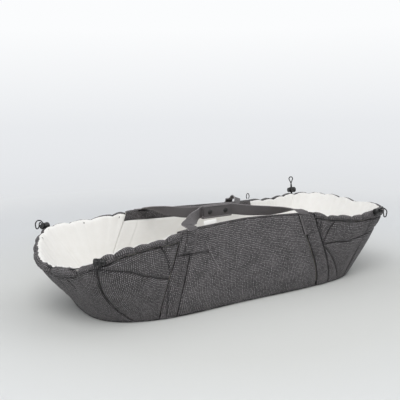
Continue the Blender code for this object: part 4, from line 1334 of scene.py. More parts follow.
    def topstitch(self) -> None:
        """Rows of stitches beside the seams, and a pale row on each side panel."""
        rows = []
        for name, first, last in self.panels:
            for seam_edge, inward in ((first, 1), (last, -1)):
                rise = np.linspace(0.03, 0.97, 90)
                step = WALL.run(seam_edge) + inward * self.stitch_inset
                seam = np.full(90, float(np.interp(step, WALL.lengths, WALL.stations)))
                top = self.top_of(first, last, seam)
                rows.append(self.on_cloth(name, first, last, seam, rise * top, top))
        settle(stitches("shell_topstitch", rows, Finish.THREAD), "shell")
        pale = []
        for side in Side:
            places = np.array(mirrored(self.pale_row, side))
            steps, marks = np.linspace(0, 1, 60), np.linspace(0, 1, len(places))
            seam, rise = (np.interp(steps, marks, column) for column in places.T)
            first = -1 if side is Side.NEAR else 7
            top = self.top_of(first, first + 2, seam)
            pale.append(self.on_cloth("side_panel", first, first + 2, seam, rise, top))
        settle(stitches("pale_topstitch", pale, Finish.GREY_THREAD, 4.4 * MM, 0.5 * MM), "shell")

    def on_cloth(self, name: str, first: int, last: int, seam: Array, rise: Array, top: Array) -> Pair:
        """Points on a panel's padded face, with the outward directions there."""
        here, _, _, out = WALL.frame(self.bowed(seam, rise), rise)
        return here + out * self.relief(name, first, last, seam, rise, top)[:, None], out

    def build(self) -> None:
        """Makes the whole shell."""
        for name, first, last in self.panels:
            self.panel(name, first, last)
        self.underside()
        self.topstitch()


def pad_from_base(name: str, inset: float, profile: Rows, finish: Finish, around: int = 200) -> Piece:
    """A flat pad with the base's outline.

    Args:
        name: The piece's name.
        inset: How far its outline is drawn in from the base's.
        profile: Share of the outline's reach and height in millimetres, from the middle of its top
            over its edge to the middle of its underside.
        finish: The pad's finish.
        around: Cells round it.

    Returns:
        The new object.
    """
    reach = np.array([share for share, _ in profile])
    level = np.array([height for _, height in profile]) * MM

    def place(u: Array, v: Array) -> Pair:
        """Points, and their flat coordinates."""
        seam = RING * np.mod(u, 1.0)
        row = np.rint(v * (len(profile) - 1)).astype(int)
        edge = WALL.plan(Level.BASE, seam) - WALL.normal(Level.BASE, seam) * inset
        points = edge * reach[row][:, None]
        points[:, 2] = level[row]
        return points, points[:, :2].copy()

    return woven(name, around, len(profile) - 1, place, finish, closed=True)


@dataclass
class Inside:
    """Everything pale in the nest: foam, linings, floor lining, board and mattress."""

    cell: float = 4.0 * MM
    lining_foot: float = 0.0
    pleat: float = 2.6 * MM
    crimp: float = 1.1 * MM
    lap_depth: float = 4.0 * MM
    fullness: float = 1.12
    floor_low: float = 7.0 * MM
    mattress_low: float = 9.5 * MM
    mattress_inset: float = 24.0 * MM
    mattress_edge: float = 17.0 * MM
    mattress_crown: float = 5.0 * MM
    quarters: tuple = (("near", -2, 2), ("foot", 2, 6), ("far", 6, 10), ("head", 10, 14))

    def lining(self, side: str, first: int, last: int) -> None:
        """The lining of one wall or end, pleated below a gathered rim.

        Args:
            side: Which side.
            first: Its first seam number.
            last: Its last seam number.
        """
        gathered = side in ("foot", "head")
        width = WALL.run([first, last])
        columns = int((width[1] - width[0]) / (self.cell * 0.7))

        def place(u: Array, v: Array) -> Pair:
            """Points, and their flat coordinates."""
            seam = first + (last - first) * u
            lap = smoothstep(9.99, 10.5, seam) * smoothstep(12.95, 12.5, seam) * (side == "head")
            drop = GATHERS.at(seam)[0] + (2.8 - 3.2 * lap) * MM if gathered else FACING_DROP + 1.0 * MM
            top = WALL.below_rim(seam, np.maximum(drop, 0.5 * MM))
            rise = self.lining_foot + (top - self.lining_foot) * v
            here, along, _, out = WALL.frame(seam, rise)
            s, h = WALL.chart(seam, rise)
            _, h_top = WALL.chart(seam, top)
            deep = LINING_DEPTH + LINING + 0.7 * MM * undulation(s, h, 21, 0.09)
            if gathered:
                warped = s + 0.005 * np.sin(s / 0.027) + 0.002 * np.sin(s / 0.0091)
                fold = np.abs(np.sin(math.pi * warped / 0.024)) ** 0.8
                deep += self.pleat * fold * np.exp(-(h_top - h) / 0.026)
                deep += self.crimp * np.sin(warped * math.tau / 0.0105) * np.exp(-(h_top - h) / 0.011)
                deep -= self.lap_depth * lap * np.exp(-(h_top - h) / (4.0 * MM))
            seams = np.minimum.reduce([np.abs(s - WALL.run(k)) for k in range(first, last + 1)])
            deep -= 0.9 * MM * bell(seams, 1.5 * MM)
            return here - out * deep[:, None], np.stack([s, h], axis=1)

        piece = woven("lining_" + side + "_cloth", columns, int(0.16 / self.cell), place, Finish.LINING)
        thicken(piece, LINING - 0.4 * MM, 1.0)
        settle(piece, "shell", "lining_" + side)
        declare_sheet(piece, place, (width[1] - width[0]) * (self.fullness if gathered else 1.0),
                      "gathered" if gathered else "stretched", f"foam_{side}_pad")

    def foam(self, side: str, first: int, last: int) -> None:
        """The foam between a wall's outer cloth and its lining.

        Args:
            side: Which side.
            first: Its first seam number.
            last: Its last seam number.
        """
        drop = (CASING_HEIGHT if side in ("foot", "head") else 2.4 * MM) + 1.0 * MM

        def place(u: Array, v: Array) -> Pair:
            """Points, and their flat coordinates."""
            seam = first + (last - first) * u
            rise = 0.06 + (WALL.below_rim(seam, drop) - 0.06) * v
            here, _, _, out = WALL.frame(seam, rise)
            s, h = WALL.chart(seam, rise)
            return here - out * FOAM_DEPTH, np.stack([s, h], axis=1)

        piece = woven("foam_" + side + "_pad", 90, 14, place, Finish.FOAM, thick=FOAM)
        settle(piece, "shell", "foam_" + side)

    def floor(self) -> None:
        """The lining over the stiff board."""
        low = self.floor_low / MM
        profile = ((0.0, low + 2.0), (0.6, low + 2.0), (0.97, low + 2.0), (0.995, low + 1.6),
                   (1.0, low + 1.0), (0.995, low + 0.4), (0.97, low), (0.5, low), (0.0, low))
        piece = pad_from_base("lining_floor_cloth", WALL_DEPTH - 1.0 * MM, profile, Finish.LINING)
        settle(piece, "shell", "lining_floor")
        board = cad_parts["base_board"]
        board.data.materials[0] = Finish.BOARD.material()

    def mattress(self) -> None:
        """The removable mattress: a cotton cover over foam, piped round its side."""
        low, edge, crown = self.mattress_low / MM, self.mattress_edge / MM, self.mattress_crown / MM
        profile = [(reach, low + edge + crown * (1 - reach**2))
                   for reach in (0.0, 0.25, 0.5, 0.7, 0.85, 0.93)]
        profile += [(0.97, low + edge * 0.93), (0.99, low + edge * 0.82), (1.0, low + edge * 0.6),
                    (1.0, low + edge * 0.35), (0.99, low + edge * 0.14), (0.97, low + edge * 0.03)]
        profile += [(reach, low) for reach in (0.93, 0.8, 0.6, 0.3, 0.0)]
        piece = pad_from_base("mattress_pad", self.mattress_inset + 2.0 * MM, profile, Finish.LINING)
        inflate(piece, 5.0 * MM, 3.0, 4.0 * MM)
        points, corner = corners_of(piece.data)
        lay_flat(piece.data, points[corner][:, :2])
        Finish.LINING.dress(piece)
        for vert in piece.data.vertices:
            vert.co.z = max(vert.co.z, self.mattress_low)
        settle(piece, "mattress", "mattress")
        seam = np.linspace(0.0, RING, 420)
        rim = WALL.plan(Level.BASE, seam) - WALL.normal(Level.BASE, seam) * (self.mattress_inset + 1.0 * MM)
        rim[:, 2] = self.mattress_low + self.mattress_edge * 0.55
        settle(tube_along("mattress_piping", rim, 1.6 * MM, Finish.LINING, 10), "mattress")

    def build(self) -> None:
        """Makes the nest's inside."""
        for side, first, last in self.quarters:
            self.foam(side, first, last)
            self.lining(side, first, last)
        self.floor()
        self.mattress()


@dataclass
class Facings:
    """The dark hems that fold over the rims of the long sides."""

    cell: float = 3.0 * MM
    crown: float = 2.2 * MM
    cut_width: float = 40.0 * MM

    def hem(self, name: str, first: int, last: int) -> None:
        """Makes one hem: a closed fold with a round top, and stitched near its lower edge.

        Args:
            name: The piece's name.
            first: Its first seam number.
            last: Its last seam number.
        """
        top = [(WALL_DEPTH / 2 + (WALL_DEPTH / 2) * math.cos(a), self.crown * (1 - math.sin(a)))
               for a in np.linspace(0.0, math.pi, 9)]
        section = np.array(
            [(LINING_DEPTH + 0.2 * MM, FACING_DROP), (WALL_DEPTH - 0.4 * MM, FACING_DROP),
             (WALL_DEPTH, FACING_DROP - 1 * MM), (WALL_DEPTH, FACING_DROP * 0.66),
             (WALL_DEPTH, FACING_DROP * 0.33)]
            + top + [(0.0, 3.0 * MM), (1.2 * MM, 3.2 * MM), (LINING_DEPTH - 1 * MM, 3.2 * MM),
                     (LINING_DEPTH, 4.2 * MM), (LINING_DEPTH, FACING_DROP * 0.5)])
        loop = np.concatenate([section, section[:1]])
        round_it = run_along(loop)
        width = WALL.run([first, last])

        def place(u: Array, v: Array) -> Pair:
            """Points, and their flat coordinates."""
            seam = first + (last - first) * u
            row = np.rint(v * (len(loop) - 1)).astype(int)
            deep, drop = loop[row].T
            s, _ = WALL.chart(seam, np.ones_like(seam))
            ripple = undulation(s, drop, 31, 0.05) * smoothstep(4 * MM, FACING_DROP, drop)
            here, _, _, out = WALL.frame(seam, WALL.below_rim(seam, np.maximum(drop, 1e-6)))
            shift = deep + 0.8 * MM * ripple * (deep > WALL_DEPTH - 1 * MM)
            return here - out * shift[:, None], np.stack([s, round_it[row]], axis=1)

        columns = int((width[1] - width[0]) / self.cell)
        piece = woven(name + "_hem", columns, len(loop) - 1, place, Finish.FACING, closed=True)
        settle(piece, "shell", name)
        seam = np.linspace(first + 0.05, last - 0.05, 200)
        here, _, _, out = WALL.frame(seam, WALL.below_rim(seam, FACING_DROP - 3 * MM))
        rows = [(here - out * (WALL_DEPTH + 0.2 * MM), -out)]
        settle(stitches(name + "_stitch", rows, Finish.THREAD), "shell")

    def build(self) -> None:
        """Makes both hems."""
        self.hem("near_facing", -2, 2)
        self.hem("far_facing", 6, 10)


@dataclass
class Lock:
    """Where a cord lock sits on its loop of drawcord, and the loop's own shape."""

    name: str
    seam: float
    tilt: float
    distance: float
    hangs: bool

    radius: float = 7.0 * MM
    travel: float = 3.0 * MM
    press: float = 3.1 * MM
    seat: float = 1.55 * MM
    spread: float = 2.0 * MM
    loop_radius: float = 5.4 * MM
    bend: float = 5.2 * MM
    droop_bend: float = 7.2 * MM
    droop_run: float = 4.0 * MM
    upright_run: float = 18.0 * MM

    def frame(self) -> Matrix:
        """The lock's frame on the casing: Z along the rim, X along the cord out of the casing.

        Returns:
            The frame's matrix.
        """
        out = Vector(WALL.normal(Level.RIM, np.array([self.seam]))[0])
        along = Vector((0.0, 0.0, 1.0)).cross(out).normalized()
        tilt = math.radians(self.tilt)
        leave = Vector((0.0, 0.0, math.cos(tilt))) + out * math.sin(tilt)
        frame = Matrix((leave, along.cross(leave), along)).transposed().to_4x4()
        frame.translation = casing_middle(self.seam)
        return frame

    def stops(self) -> list[tuple[Vector, Vector]]:
        """Centre line of the loop past the lock: places and directions.

        Returns:
            Places and directions in the lock's frame.
        """
        start = Vector((self.distance + 2 * self.radius + self.travel + 0.8 * MM, 0.0, 0.0))
        if not self.hangs:
            return [(start + Vector((self.upright_run * i / 4, 0.0, 0.0)), Vector((1.0, 0.0, 0.0)))
                    for i in range(5)]
        found = []
        for i in range(7):
            turn = (math.pi - math.radians(self.tilt)) * i / 6
            place = start + Vector((math.sin(turn), 1.0 - math.cos(turn), 0.0)) * self.droop_bend
            found.append((place, Vector((math.cos(turn), math.sin(turn), 0.0))))
        place, ahead = found[-1]
        return found + [(place + ahead * self.droop_run, ahead)]

    def route(self) -> list[Vector]:
        """The loop's points in the carrier's frame, from the leg that arrives to the one that goes on.

        Returns:
            The points in order.
        """
        up = Vector((0.0, 0.0, 1.0))
        arrive = []
        for degrees in (0.0, 30.0, 60.0, 90.0):
            a = math.radians(degrees)
            arrive.append(Vector((self.bend * (1 - math.cos(a)), self.spread,
                                  self.seat - self.bend * (1 - math.sin(a)))))
        first, last = [], []
        stops = self.stops()
        for i, (place, ahead) in enumerate(stops):
            share = i / (len(stops) - 1)
            twist = math.pi / 2 * share
            apart = self.spread + (self.loop_radius - self.spread) * share
            across = Vector((-ahead.y, ahead.x, 0.0)) * math.cos(twist) - up * math.sin(twist)
            first.append(place + up * self.seat + across * apart)
            last.append(place + up * self.seat - across * apart)
        place, ahead = stops[-1]
        tip = []
        for degrees in (36.0, 72.0, 108.0, 144.0):
            a = math.radians(degrees)
            tip.append(place + up * self.seat + (ahead * math.sin(a) - up * math.cos(a)) * self.loop_radius)
        leave = [Vector((p.x, -p.y, 2 * self.seat - p.z)) for p in reversed(arrive)]
        frame = self.frame()
        return [frame @ point for point in arrive + first + tip + last[::-1] + leave]

    def build(self) -> None:
        """Makes the barrel and the push button in place of their nodes."""
        frame = self.frame() @ Matrix.Translation((self.distance + self.radius, 0.0, 0.0))
        low, high, r = -9.5, 6.5, self.radius / MM
        outer = [(0.0, low + 1.3), (5.2, low + 1.3), (5.2, high - 0.3), (5.5, high), (r - 0.9, high),
                 (r - 0.3, high - 0.3), (r, high - 0.9), (r, 3.2), (r - 0.35, 2.9), (r - 0.35, -2.9),
                 (r, -3.2), (r, low + 2.6), (r - 0.5, low + 1.2), (r - 1.6, low + 0.35), (r - 3.4, low),
                 (0.0, low)]
        barrel = self.lathe(f"{self.name}_lock_barrel", outer, frame, (3.6 * MM, 3.25 * MM), 0.0)
        settle(barrel, f"{self.name}_lock", f"{self.name}_cord_lock")
        top, head = 12.2, 6.0
        inner = [(0.0, top - 0.5), (0.35 * head, top - 0.45), (0.55 * head, top - 0.15), (0.72 * head, top),
                 (0.9 * head, top - 0.5), (head, top - 1.4), (head, 10.0), (head - 0.3, 9.7), (4.9, 9.7),
                 (4.9, -2.3), (4.6, -2.6), (0.0, -2.6)]
        button = self.lathe(f"{self.name}_push_button", inner, frame, (3.6 * MM, 3.15 * MM), 3.05 * MM)
        settle(button, f"{self.name}_button", f"{self.name}_lock_button")
        self.spring()

    def spring(self) -> None:
        """The steel spring under the button, copied from its node and dressed in steel."""
        bm = bmesh.new()
        bm.from_mesh(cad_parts[f"{self.name}_lock_spring"].data)
        bmesh.ops.remove_doubles(bm, verts=bm.verts, dist=0.001 * MM)
        axis = self.frame().to_3x3().col[2]
        ends = sorted(bm.verts, key=lambda vert: vert.co.dot(axis))
        low, high = ends[0].co.copy(), ends[-1].co.copy()
        piece = Finish.STEEL.dress(object_of(bm, f"{self.name}_spring_coil"))
        settle(piece, f"{self.name}_lock", f"{self.name}_lock_spring")
        tuple(low)
        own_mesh(piece)

    @staticmethod
    def lathe(name: str, profile: list, frame: Matrix, slot: tuple[float, float], slot_at: float) -> Piece:
        """A turned form along the frame's Z, with a slot for the cord cut through it along X.

        Args:
            name: The piece's name.
            profile: Rows of radius and height, in millimetres.
            frame: Where the form goes.
            slot: Half the slot's width and height.
            slot_at: Height of the slot's middle.

        Returns:
            The new piece.
        """
        piece = object_of(turned([(r * MM, h * MM) for r, h in profile], 40), name, 35.0)
        cutter = bmesh.new()
        bmesh.ops.create_cube(cutter, size=1.0)
        size = Matrix.Diagonal((0.04, 2 * slot[0], 2 * slot[1], 1.0))
        bmesh.ops.transform(cutter, matrix=Matrix.Translation((0, 0, slot_at)) @ size, verts=cutter.verts)
        bmesh.ops.bevel(cutter,
                        geom=[e for e in cutter.edges if abs((e.verts[0].co - e.verts[1].co).x) > 0.01],
                        offset=1.1 * MM, segments=4, profile=0.5, affect="EDGES", material=-1)
        tool = object_of(cutter, name + "_slot")
        cut = piece.modifiers.new("slot", "BOOLEAN")
        cut.object, cut.solver = tool, "EXACT"
        mesh = evaluated(piece)
        piece.modifiers.clear()
        bpy.data.objects.remove(tool, do_unlink=True)
        mesh.transform(frame)
        mesh.name = name
        piece.data = mesh
        mesh.set_sharp_from_angle(angle=math.radians(35.0))
        return Finish.NYLON.dress(piece)


def casing_middle(seam: float) -> Vector:
    """The middle of a drawcord casing at a seam number."""
    here, _, up, out = (part[0] for part in WALL.frame(np.array([seam]), np.ones(1)))
    return Vector(here - up * CASING_HEIGHT / 2 - out * CASING_DEPTH)


@dataclass
class GatheredEnd:
    """A drawn-up end: its puffed casing, its drawcord and the two locks on it."""

    name: str
    first: int
    locks: tuple[Lock, Lock]
    seed: int
    half_out: float = 6.2 * MM
    puff: float = 1.8 * MM
    pinch: float = 0.5
    pleat: float = 0.55 * MM
    pleat_pitch: float = 6.4 * MM
    crumple: float = 0.8 * MM
    steps_along: int = 520
    steps_round: int = 30

    def casing(self) -> None:
        """The tunnel of cloth, gathered into uneven puffs with small pleats at each pinch."""

        def place(u: Array, v: Array) -> Pair:
            """Points, and their flat coordinates."""
            seam = self.first + 4 * u
            s = WALL.run(seam)
            top_drop, low_drop, tight = GATHERS.at(seam)
            turn = math.tau * np.mod(v, 1.0)
            here, _, up, out = WALL.frame(seam, np.ones_like(seam))
            half_up = (low_drop - top_drop) / 2
            middle = (low_drop + top_drop) / 2
            wide = self.half_out * (1.0 - self.pinch * tight) + self.puff * (1.0 - tight)
            sine, cosine = np.sin(turn), np.cos(turn)
            pleat = np.sin(s * math.tau / self.pleat_pitch + 2.0 * np.sin(turn)) * (0.12 + 0.88 * tight)
            crumple = undulation(s, v * 0.06, self.seed + 9, 0.019)
            swell = 1.0 + (self.pleat * pleat + self.crumple * crumple) / self.half_out
            side = np.sign(cosine) * np.abs(cosine) ** 0.85 * wide * swell
            rise = np.sign(sine) * np.abs(sine) ** 0.9 * half_up * (1 + 0.5 * (swell - 1) * (sine > 0))
            points = here - up * middle[:, None] - out * CASING_DEPTH + out * side[:, None]
            points += up * rise[:, None]
            return points, np.stack([s, v * 0.052], axis=1)

        def fold(u: Array, v: Array) -> Array:
            """Painted shade along the casing's underside and at each pinch between puffs."""
            tight = GATHERS.at(self.first + 4 * u)[2]
            low = bell(np.mod(v, 1.0) - 0.75, 0.055)
            return np.maximum(low, 0.75 * tight ** 3)

        piece = woven(self.name + "_casing_cloth", self.steps_along, self.steps_round, place, Finish.CLOTH,
                      fold=fold)
        bm = bmesh.new()
        bm.from_mesh(piece.data)
        bmesh.ops.remove_doubles(bm, verts=bm.verts, dist=0.002 * MM)
        bmesh.ops.recalc_face_normals(bm, faces=bm.faces)
        bm.to_mesh(piece.data)
        bm.free()
        thicken(piece, 0.9 * MM, -1.0)
        settle(piece, "shell", self.name + "_casing")

    def drawcord(self) -> None:
        """One elastic cord through the casing, drawn out in a loop through each lock."""
        step, last = 0.125, self.first + 4
        points: list[Vector] = []
        place = self.first + 0.04
        for lock in self.locks:
            while place < lock.seam - 0.09:
                points.append(casing_middle(place))
                place = math.floor(place / step + 1.0001) * step
            points += lock.route()
            place = lock.seam + step
        while place < last - 0.05:
            points.append(casing_middle(place))
            place += step
        points.append(casing_middle(last - 0.04))
        route = np.array([tuple(point) for point in points])
        line = evenly(curve_through(route, len(route) * 6), 1.0 * MM)
        length = float(run_along(line)[-1])
        piece = tube_along(self.name + "_cord", line, CORD / 2, Finish.CORD, 10)
        settle(piece, "shell", self.name + "_drawcord")
        LOG.info("%s drawcord is %.3f m long", self.name, length)

    def build(self) -> None:
        """Makes the end's casing, cord and locks."""
        self.casing()
        self.drawcord()
        for lock in self.locks:
            lock.build()


@dataclass
class Handle:
    """A webbing handle: sewn to both ends of its side, and rolled on edge where the wrap holds it."""

    side: Side
    ends: tuple[float, float]
    rise: tuple
    fall: tuple
    middle_y: float
    middle_z: float = 0.1740
    wrap_span: tuple[float, float] = (-0.050, 0.026)
    rolls: tuple = (0.0, 4.0, 24.0, 66.0, 90.0, 90.0, 90.0, 90.0, 90.0, 114.0, 156.0, 176.0, 180.0)
    lift: float = 2.4 * MM
    lead: float = 13.0 * MM
    cover_width: float = 27.0 * MM
    cover_top: float = 1.5 * MM
    cover_drop: float = 48.0 * MM
    cover_row: float = 29.0 * MM
    steps: int = 420

    def starts(self) -> list[Vector]:
        """The middles of the handle's two ends over the rim, on one line parallel to X.

        Returns:
            The two places.
        """
        tops = []
        for x in self.ends:
            top, _, _, out = WALL.single(WALL.seam_at(x, self.side), 1.0)
            tops.append(top - out * (WALL_DEPTH / 2))
        y = min((top.y for top in tops), key=abs)
        z = max(top.z for top in tops) + self.lift
        return [Vector((x, y, z)) for x in self.ends]

    def patch_stops(self, x: float) -> list[tuple[Vector, Vector]]:
        """Places and width directions of the webbing sewn down the outside, from its lower end.

        Args:
            x: The sewn end's place along X.

        Returns:
            Places and directions.
        """
        on_band = abs(x) + WEBBING_WIDTH / 2 > WALL.rim_seams["foot"][1]
        stand = (1.4 if on_band else 0.2) * MM + WEBBING / 2 + 2.3 * MM
        found = []
        for drop in (46.0, 38.0, 28.0, 18.0, 9.0, 4.0):
            seam = WALL.seam_at(x, self.side)
            share = float(WALL.below_rim(np.array([seam]), drop * MM)[0])
            point, along, _, out = WALL.single(seam, share)
            ease = stand if drop > 5 else stand - 0.9 * MM
            found.append((point + out * ease, -along))
        return found

    def line(self) -> Pair:
        """The webbing's centre points and width directions from one sewn end to the other.

        Returns:
            Points and directions, in rows.
        """
        left, right = self.starts()
        sign = float(self.side.value)
        lead = Vector((0.0, -sign * self.lead, 0.002))
        middle = [Vector((x, self.middle_y, self.middle_z))
                  for x in (self.wrap_span[0], sum(self.wrap_span) / 2, self.wrap_span[1])]
        stops = [left, left + lead] + [Vector(place) for place in self.rise] + middle
        stops += [Vector(place) for place in self.fall] + [right + lead, right]
        free = curve_through(np.array([tuple(stop) for stop in stops]), 240)
        ahead = unit(np.gradient(free, axis=0))
        level = unit(np.cross([0.0, 0.0, 1.0], ahead))
        turn = np.radians(np.interp(np.linspace(0, len(self.rolls) - 1, 240), range(len(self.rolls)),
                                    self.rolls))
        turn = turn[:, None] * (1.0 if self.side is Side.NEAR else -1.0)
        wide = level * np.cos(turn) + np.cross(ahead, level) * np.sin(turn)
        bends = []
        for x, start, last in ((self.ends[0], left, wide[0]), (self.ends[1], right, wide[-1])):
            sewn = self.patch_stops(x)
            over = Vector((x, start.y + sign * 4.6 * MM, start.z - 0.9 * MM))
            rows = [(*spot, *width) for spot, width in sewn + [(over, sewn[-1][1]), (start, Vector(last))]]
            bends.append(curve_through(np.array(rows), 70)[:-1])
        both = np.concatenate([bends[0], np.hstack([free, wide]), bends[1][::-1]])
        even = evenly(both, float(run_along(both[:, :3])[-1]) / self.steps)
        return even[:, :3], unit(even[:, 3:])

    def build(self) -> None:
        """Makes the webbing in place of the handle and its patches, and bends it at the rim."""
        word = self.side.name.lower()
        line, wide = self.line()
        section = rounded_section(WEBBING_WIDTH, WEBBING, 0.8 * MM, 3)
        piece = swept(word + "_webbing", line, wide, section, Finish.WEBBING)
        body = word + "_handle"
        start = self.starts()[0]
        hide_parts(body, f"{word}_head_patch", f"{word}_foot_patch")
        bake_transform(piece)
        LOG.info("%s: %d faces from shell to %s", piece.name, len(piece.data.polygons), body)
        for x, end in zip(self.ends, ("head", "foot")):
            self.cover(x, f"{word}_{end}_patch_cover")

    def cover(self, x: float, name: str) -> None:
        """A rectangle of the shell's cloth sewn over one sewn end of the webbing.

        Args:
            x: The sewn end's place along X.
            name: The piece's name.
        """
        on_band = abs(x) + WEBBING_WIDTH / 2 > WALL.rim_seams["foot"][1]
        base = (4.4 if on_band else 3.2) * MM
        left, right = (WALL.seam_at(x + side * self.cover_width / 2, self.side) for side in (-1, 1))
        if self.side is Side.FAR:
            left, right = right, left

        def place(u: Array, v: Array) -> Pair:
            """Points, and their flat coordinates."""
            seam = left + (right - left) * u
            drop = self.cover_top + (self.cover_drop - self.cover_top) * (1 - v)
            rise = WALL.below_rim(seam, drop)
            here, _, _, out = WALL.frame(seam, rise)
            away = np.minimum(np.minimum(u, 1 - u) * self.cover_width, (1 - v) * 0.03 + 0.01)
            away = np.minimum(away, v * self.cover_drop)
            row = bell(drop - self.cover_row, 1.1 * MM)
            stand = base + 2.0 * MM * (1 - np.exp(-away / (2.2 * MM)))
            stand -= 1.6 * MM * np.maximum(bell(away, 1.0 * MM), row)
            s, h = WALL.chart(seam, rise)
            return here + out * stand[:, None], np.stack([s, h], axis=1)

        def fold(u: Array, v: Array) -> Array:
            """Painted shade along the cover's sunk edges and its stitched row."""
            away = np.minimum(np.minimum(u, 1 - u) * self.cover_width, v * self.cover_drop)
            away = np.minimum(away, np.abs((1 - v) * self.cover_drop - self.cover_row))
            return 0.9 * bell(away, 1.4 * MM)

        piece = woven(name, 34, 48, place, Finish.BAND, thick=1.0 * MM, fold=fold)
        settle(piece, "shell")
        declare_sheet(piece, place, self.cover_width, "stretched")
        rows = []
        t = np.linspace(0.06, 0.94, 40)
        side = np.full(40, 0.1)
        for u, v in ((side, t), (1 - side, t), (t, side * 0.6), (t, side * 4.6)):
            line, _ = place(u, v)
            out = WALL.frame(left + (right - left) * u, np.full(40, 0.9))[3]
            rows.append((line, out))
        settle(stitches(name + "_stitch", rows, Finish.THREAD, 2.6 * MM), "shell")


@dataclass
class GripWrap:
    """The padded wrap that joins the handles, its flap and its snap fasteners."""

    span: tuple[float, float] = (-0.050, 0.026)
    y: float = -0.0105
    z: float = 0.1740
    thick: float = 10.0 * MM
    height: float = 31.0 * MM
    wall: float = 2.6 * MM
    flap: float = 2.2 * MM
    flap_height: float = 27.0 * MM
    snap_spacing: float = 40.0 * MM

    def tube(self) -> None:
        """The wrap itself: a padded sleeve with rolled ends."""
        bm = bmesh.new()
        length = self.span[1] - self.span[0]
        bmesh.ops.create_cube(bm, size=1.0)
        bmesh.ops.scale(bm, vec=(length - 1 * MM, self.thick - 1.6 * MM, self.height - 1.6 * MM),
                        verts=bm.verts)
        ends = [face for face in bm.faces if abs(face.normal.x) > 0.9]
        bmesh.ops.inset_individual(bm, faces=ends, thickness=self.wall - 0.6 * MM)
        bore = [face for face in bm.faces if abs(face.normal.x) > 0.9
                and max(abs(v.co.z) for v in face.verts) < self.height / 2 - self.wall]
        middles = [v for face in bore for v in face.verts]
        for vert in middles:
            vert.co.x -= math.copysign(3.0 * MM, vert.co.x)
        bmesh.ops.subdivide_edges(bm, edges=bm.edges, cuts=9, use_grid_fill=True)
        bmesh.ops.translate(bm, vec=(sum(self.span) / 2, self.y, self.z), verts=bm.verts)
        piece = Finish.WEBBING.dress(object_of(bm, "grip_wrap_sleeve", 180.0))
        inflate(piece, 1.6 * MM, 2.0, 0.9 * MM, 10)
        points, corner = corners_of(piece.data)
        lay_flat(piece.data, np.stack([points[:, 0], points[:, 1] + points[:, 2]], axis=1)[corner])
        Finish.WEBBING.dress(piece)
        soften = piece.modifiers.new("soft", "SUBSURF")
        soften.levels = soften.render_levels = 1
        settle(piece, "near_handle", "grip_wrap")

    def cover(self) -> None:
        """The flap over the wrap's face, with its stitched border."""
        middle = sum(self.span) / 2
        length = self.span[1] - self.span[0] - 4 * MM
        front = self.y - self.thick / 2 - 0.4 * MM
        section = rounded_section(self.flap_height, self.flap, 1.0 * MM, 4)
        xs = np.linspace(-length / 2, length / 2, 60)
        line = np.stack([middle + xs, np.full(60, front - self.flap / 2), np.full(60, self.z)], axis=1)
        line[:, 1] -= 0.5 * MM * (1 - (xs / (length / 2)) ** 2) ** 2
        piece = swept("grip_flap_cover", line, np.tile([0.0, 0.0, 1.0], (60, 1)), section, Finish.WEBBING)
        settle(piece, "grip_flap", "grip_flap")
        border = []
        a, b = length / 2 - 2.4 * MM, self.flap_height / 2 - 2.4 * MM
        corners = ((-a, -b), (a, -b), (a, b), (-a, b), (-a, -b))
        for (xa, za), (xb, zb) in zip(corners, corners[1:]):
            t = np.linspace(0, 1, 30)
            x = xa + (xb - xa) * t
            row = np.stack([middle + x, front - self.flap - 0.5 * MM * (1 - (x / (length / 2)) ** 2) ** 2,
                            self.z + za + (zb - za) * t], axis=1)
            border.append((row, np.tile([0.0, -1.0, 0.0], (30, 1))))
        settle(stitches("grip_flap_stitch", border, Finish.THREAD, 2.6 * MM), "grip_flap")

    def snaps(self) -> None:
        """The snap caps on the flap, each with its post, and the rings that take them."""
        middle = sum(self.span) / 2
        front = self.y - self.thick / 2 - 0.4 * MM - self.flap
        for end, side in (("head", -1), ("foot", 1)):
            x = middle + side * self.snap_spacing / 2
            profile = ((0.0, 2.4), (1.2, 2.35), (2.6, 2.1), (4.2, 1.6), (5.2, 0.95), (5.5, 0.5), (5.3, 0.25),
                       (1.4, 0.2), (1.4, -2.8), (2.4, -3.2), (2.4, -4.0), (0.0, -4.4))
            bm = turned([(r * MM, h * MM) for r, h in profile], 32)
            aim = Matrix.Translation((x, front - 0.2 * MM, self.z)) @ Matrix.Rotation(math.pi / 2, 4, "X")
            bmesh.ops.transform(bm, matrix=aim, verts=bm.verts)
            piece = Finish.NYLON.dress(object_of(bm, f"{end}_snap_cap", 40.0))
            settle(piece, "grip_flap", f"{end}_snap_stud")
            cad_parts[f"{end}_snap_socket"].data.materials[0] = Finish.STEEL.material()

    def build(self) -> None:
        """Makes the wrap, its flap and its snaps."""
        self.tube()
        self.cover()
        self.snaps()


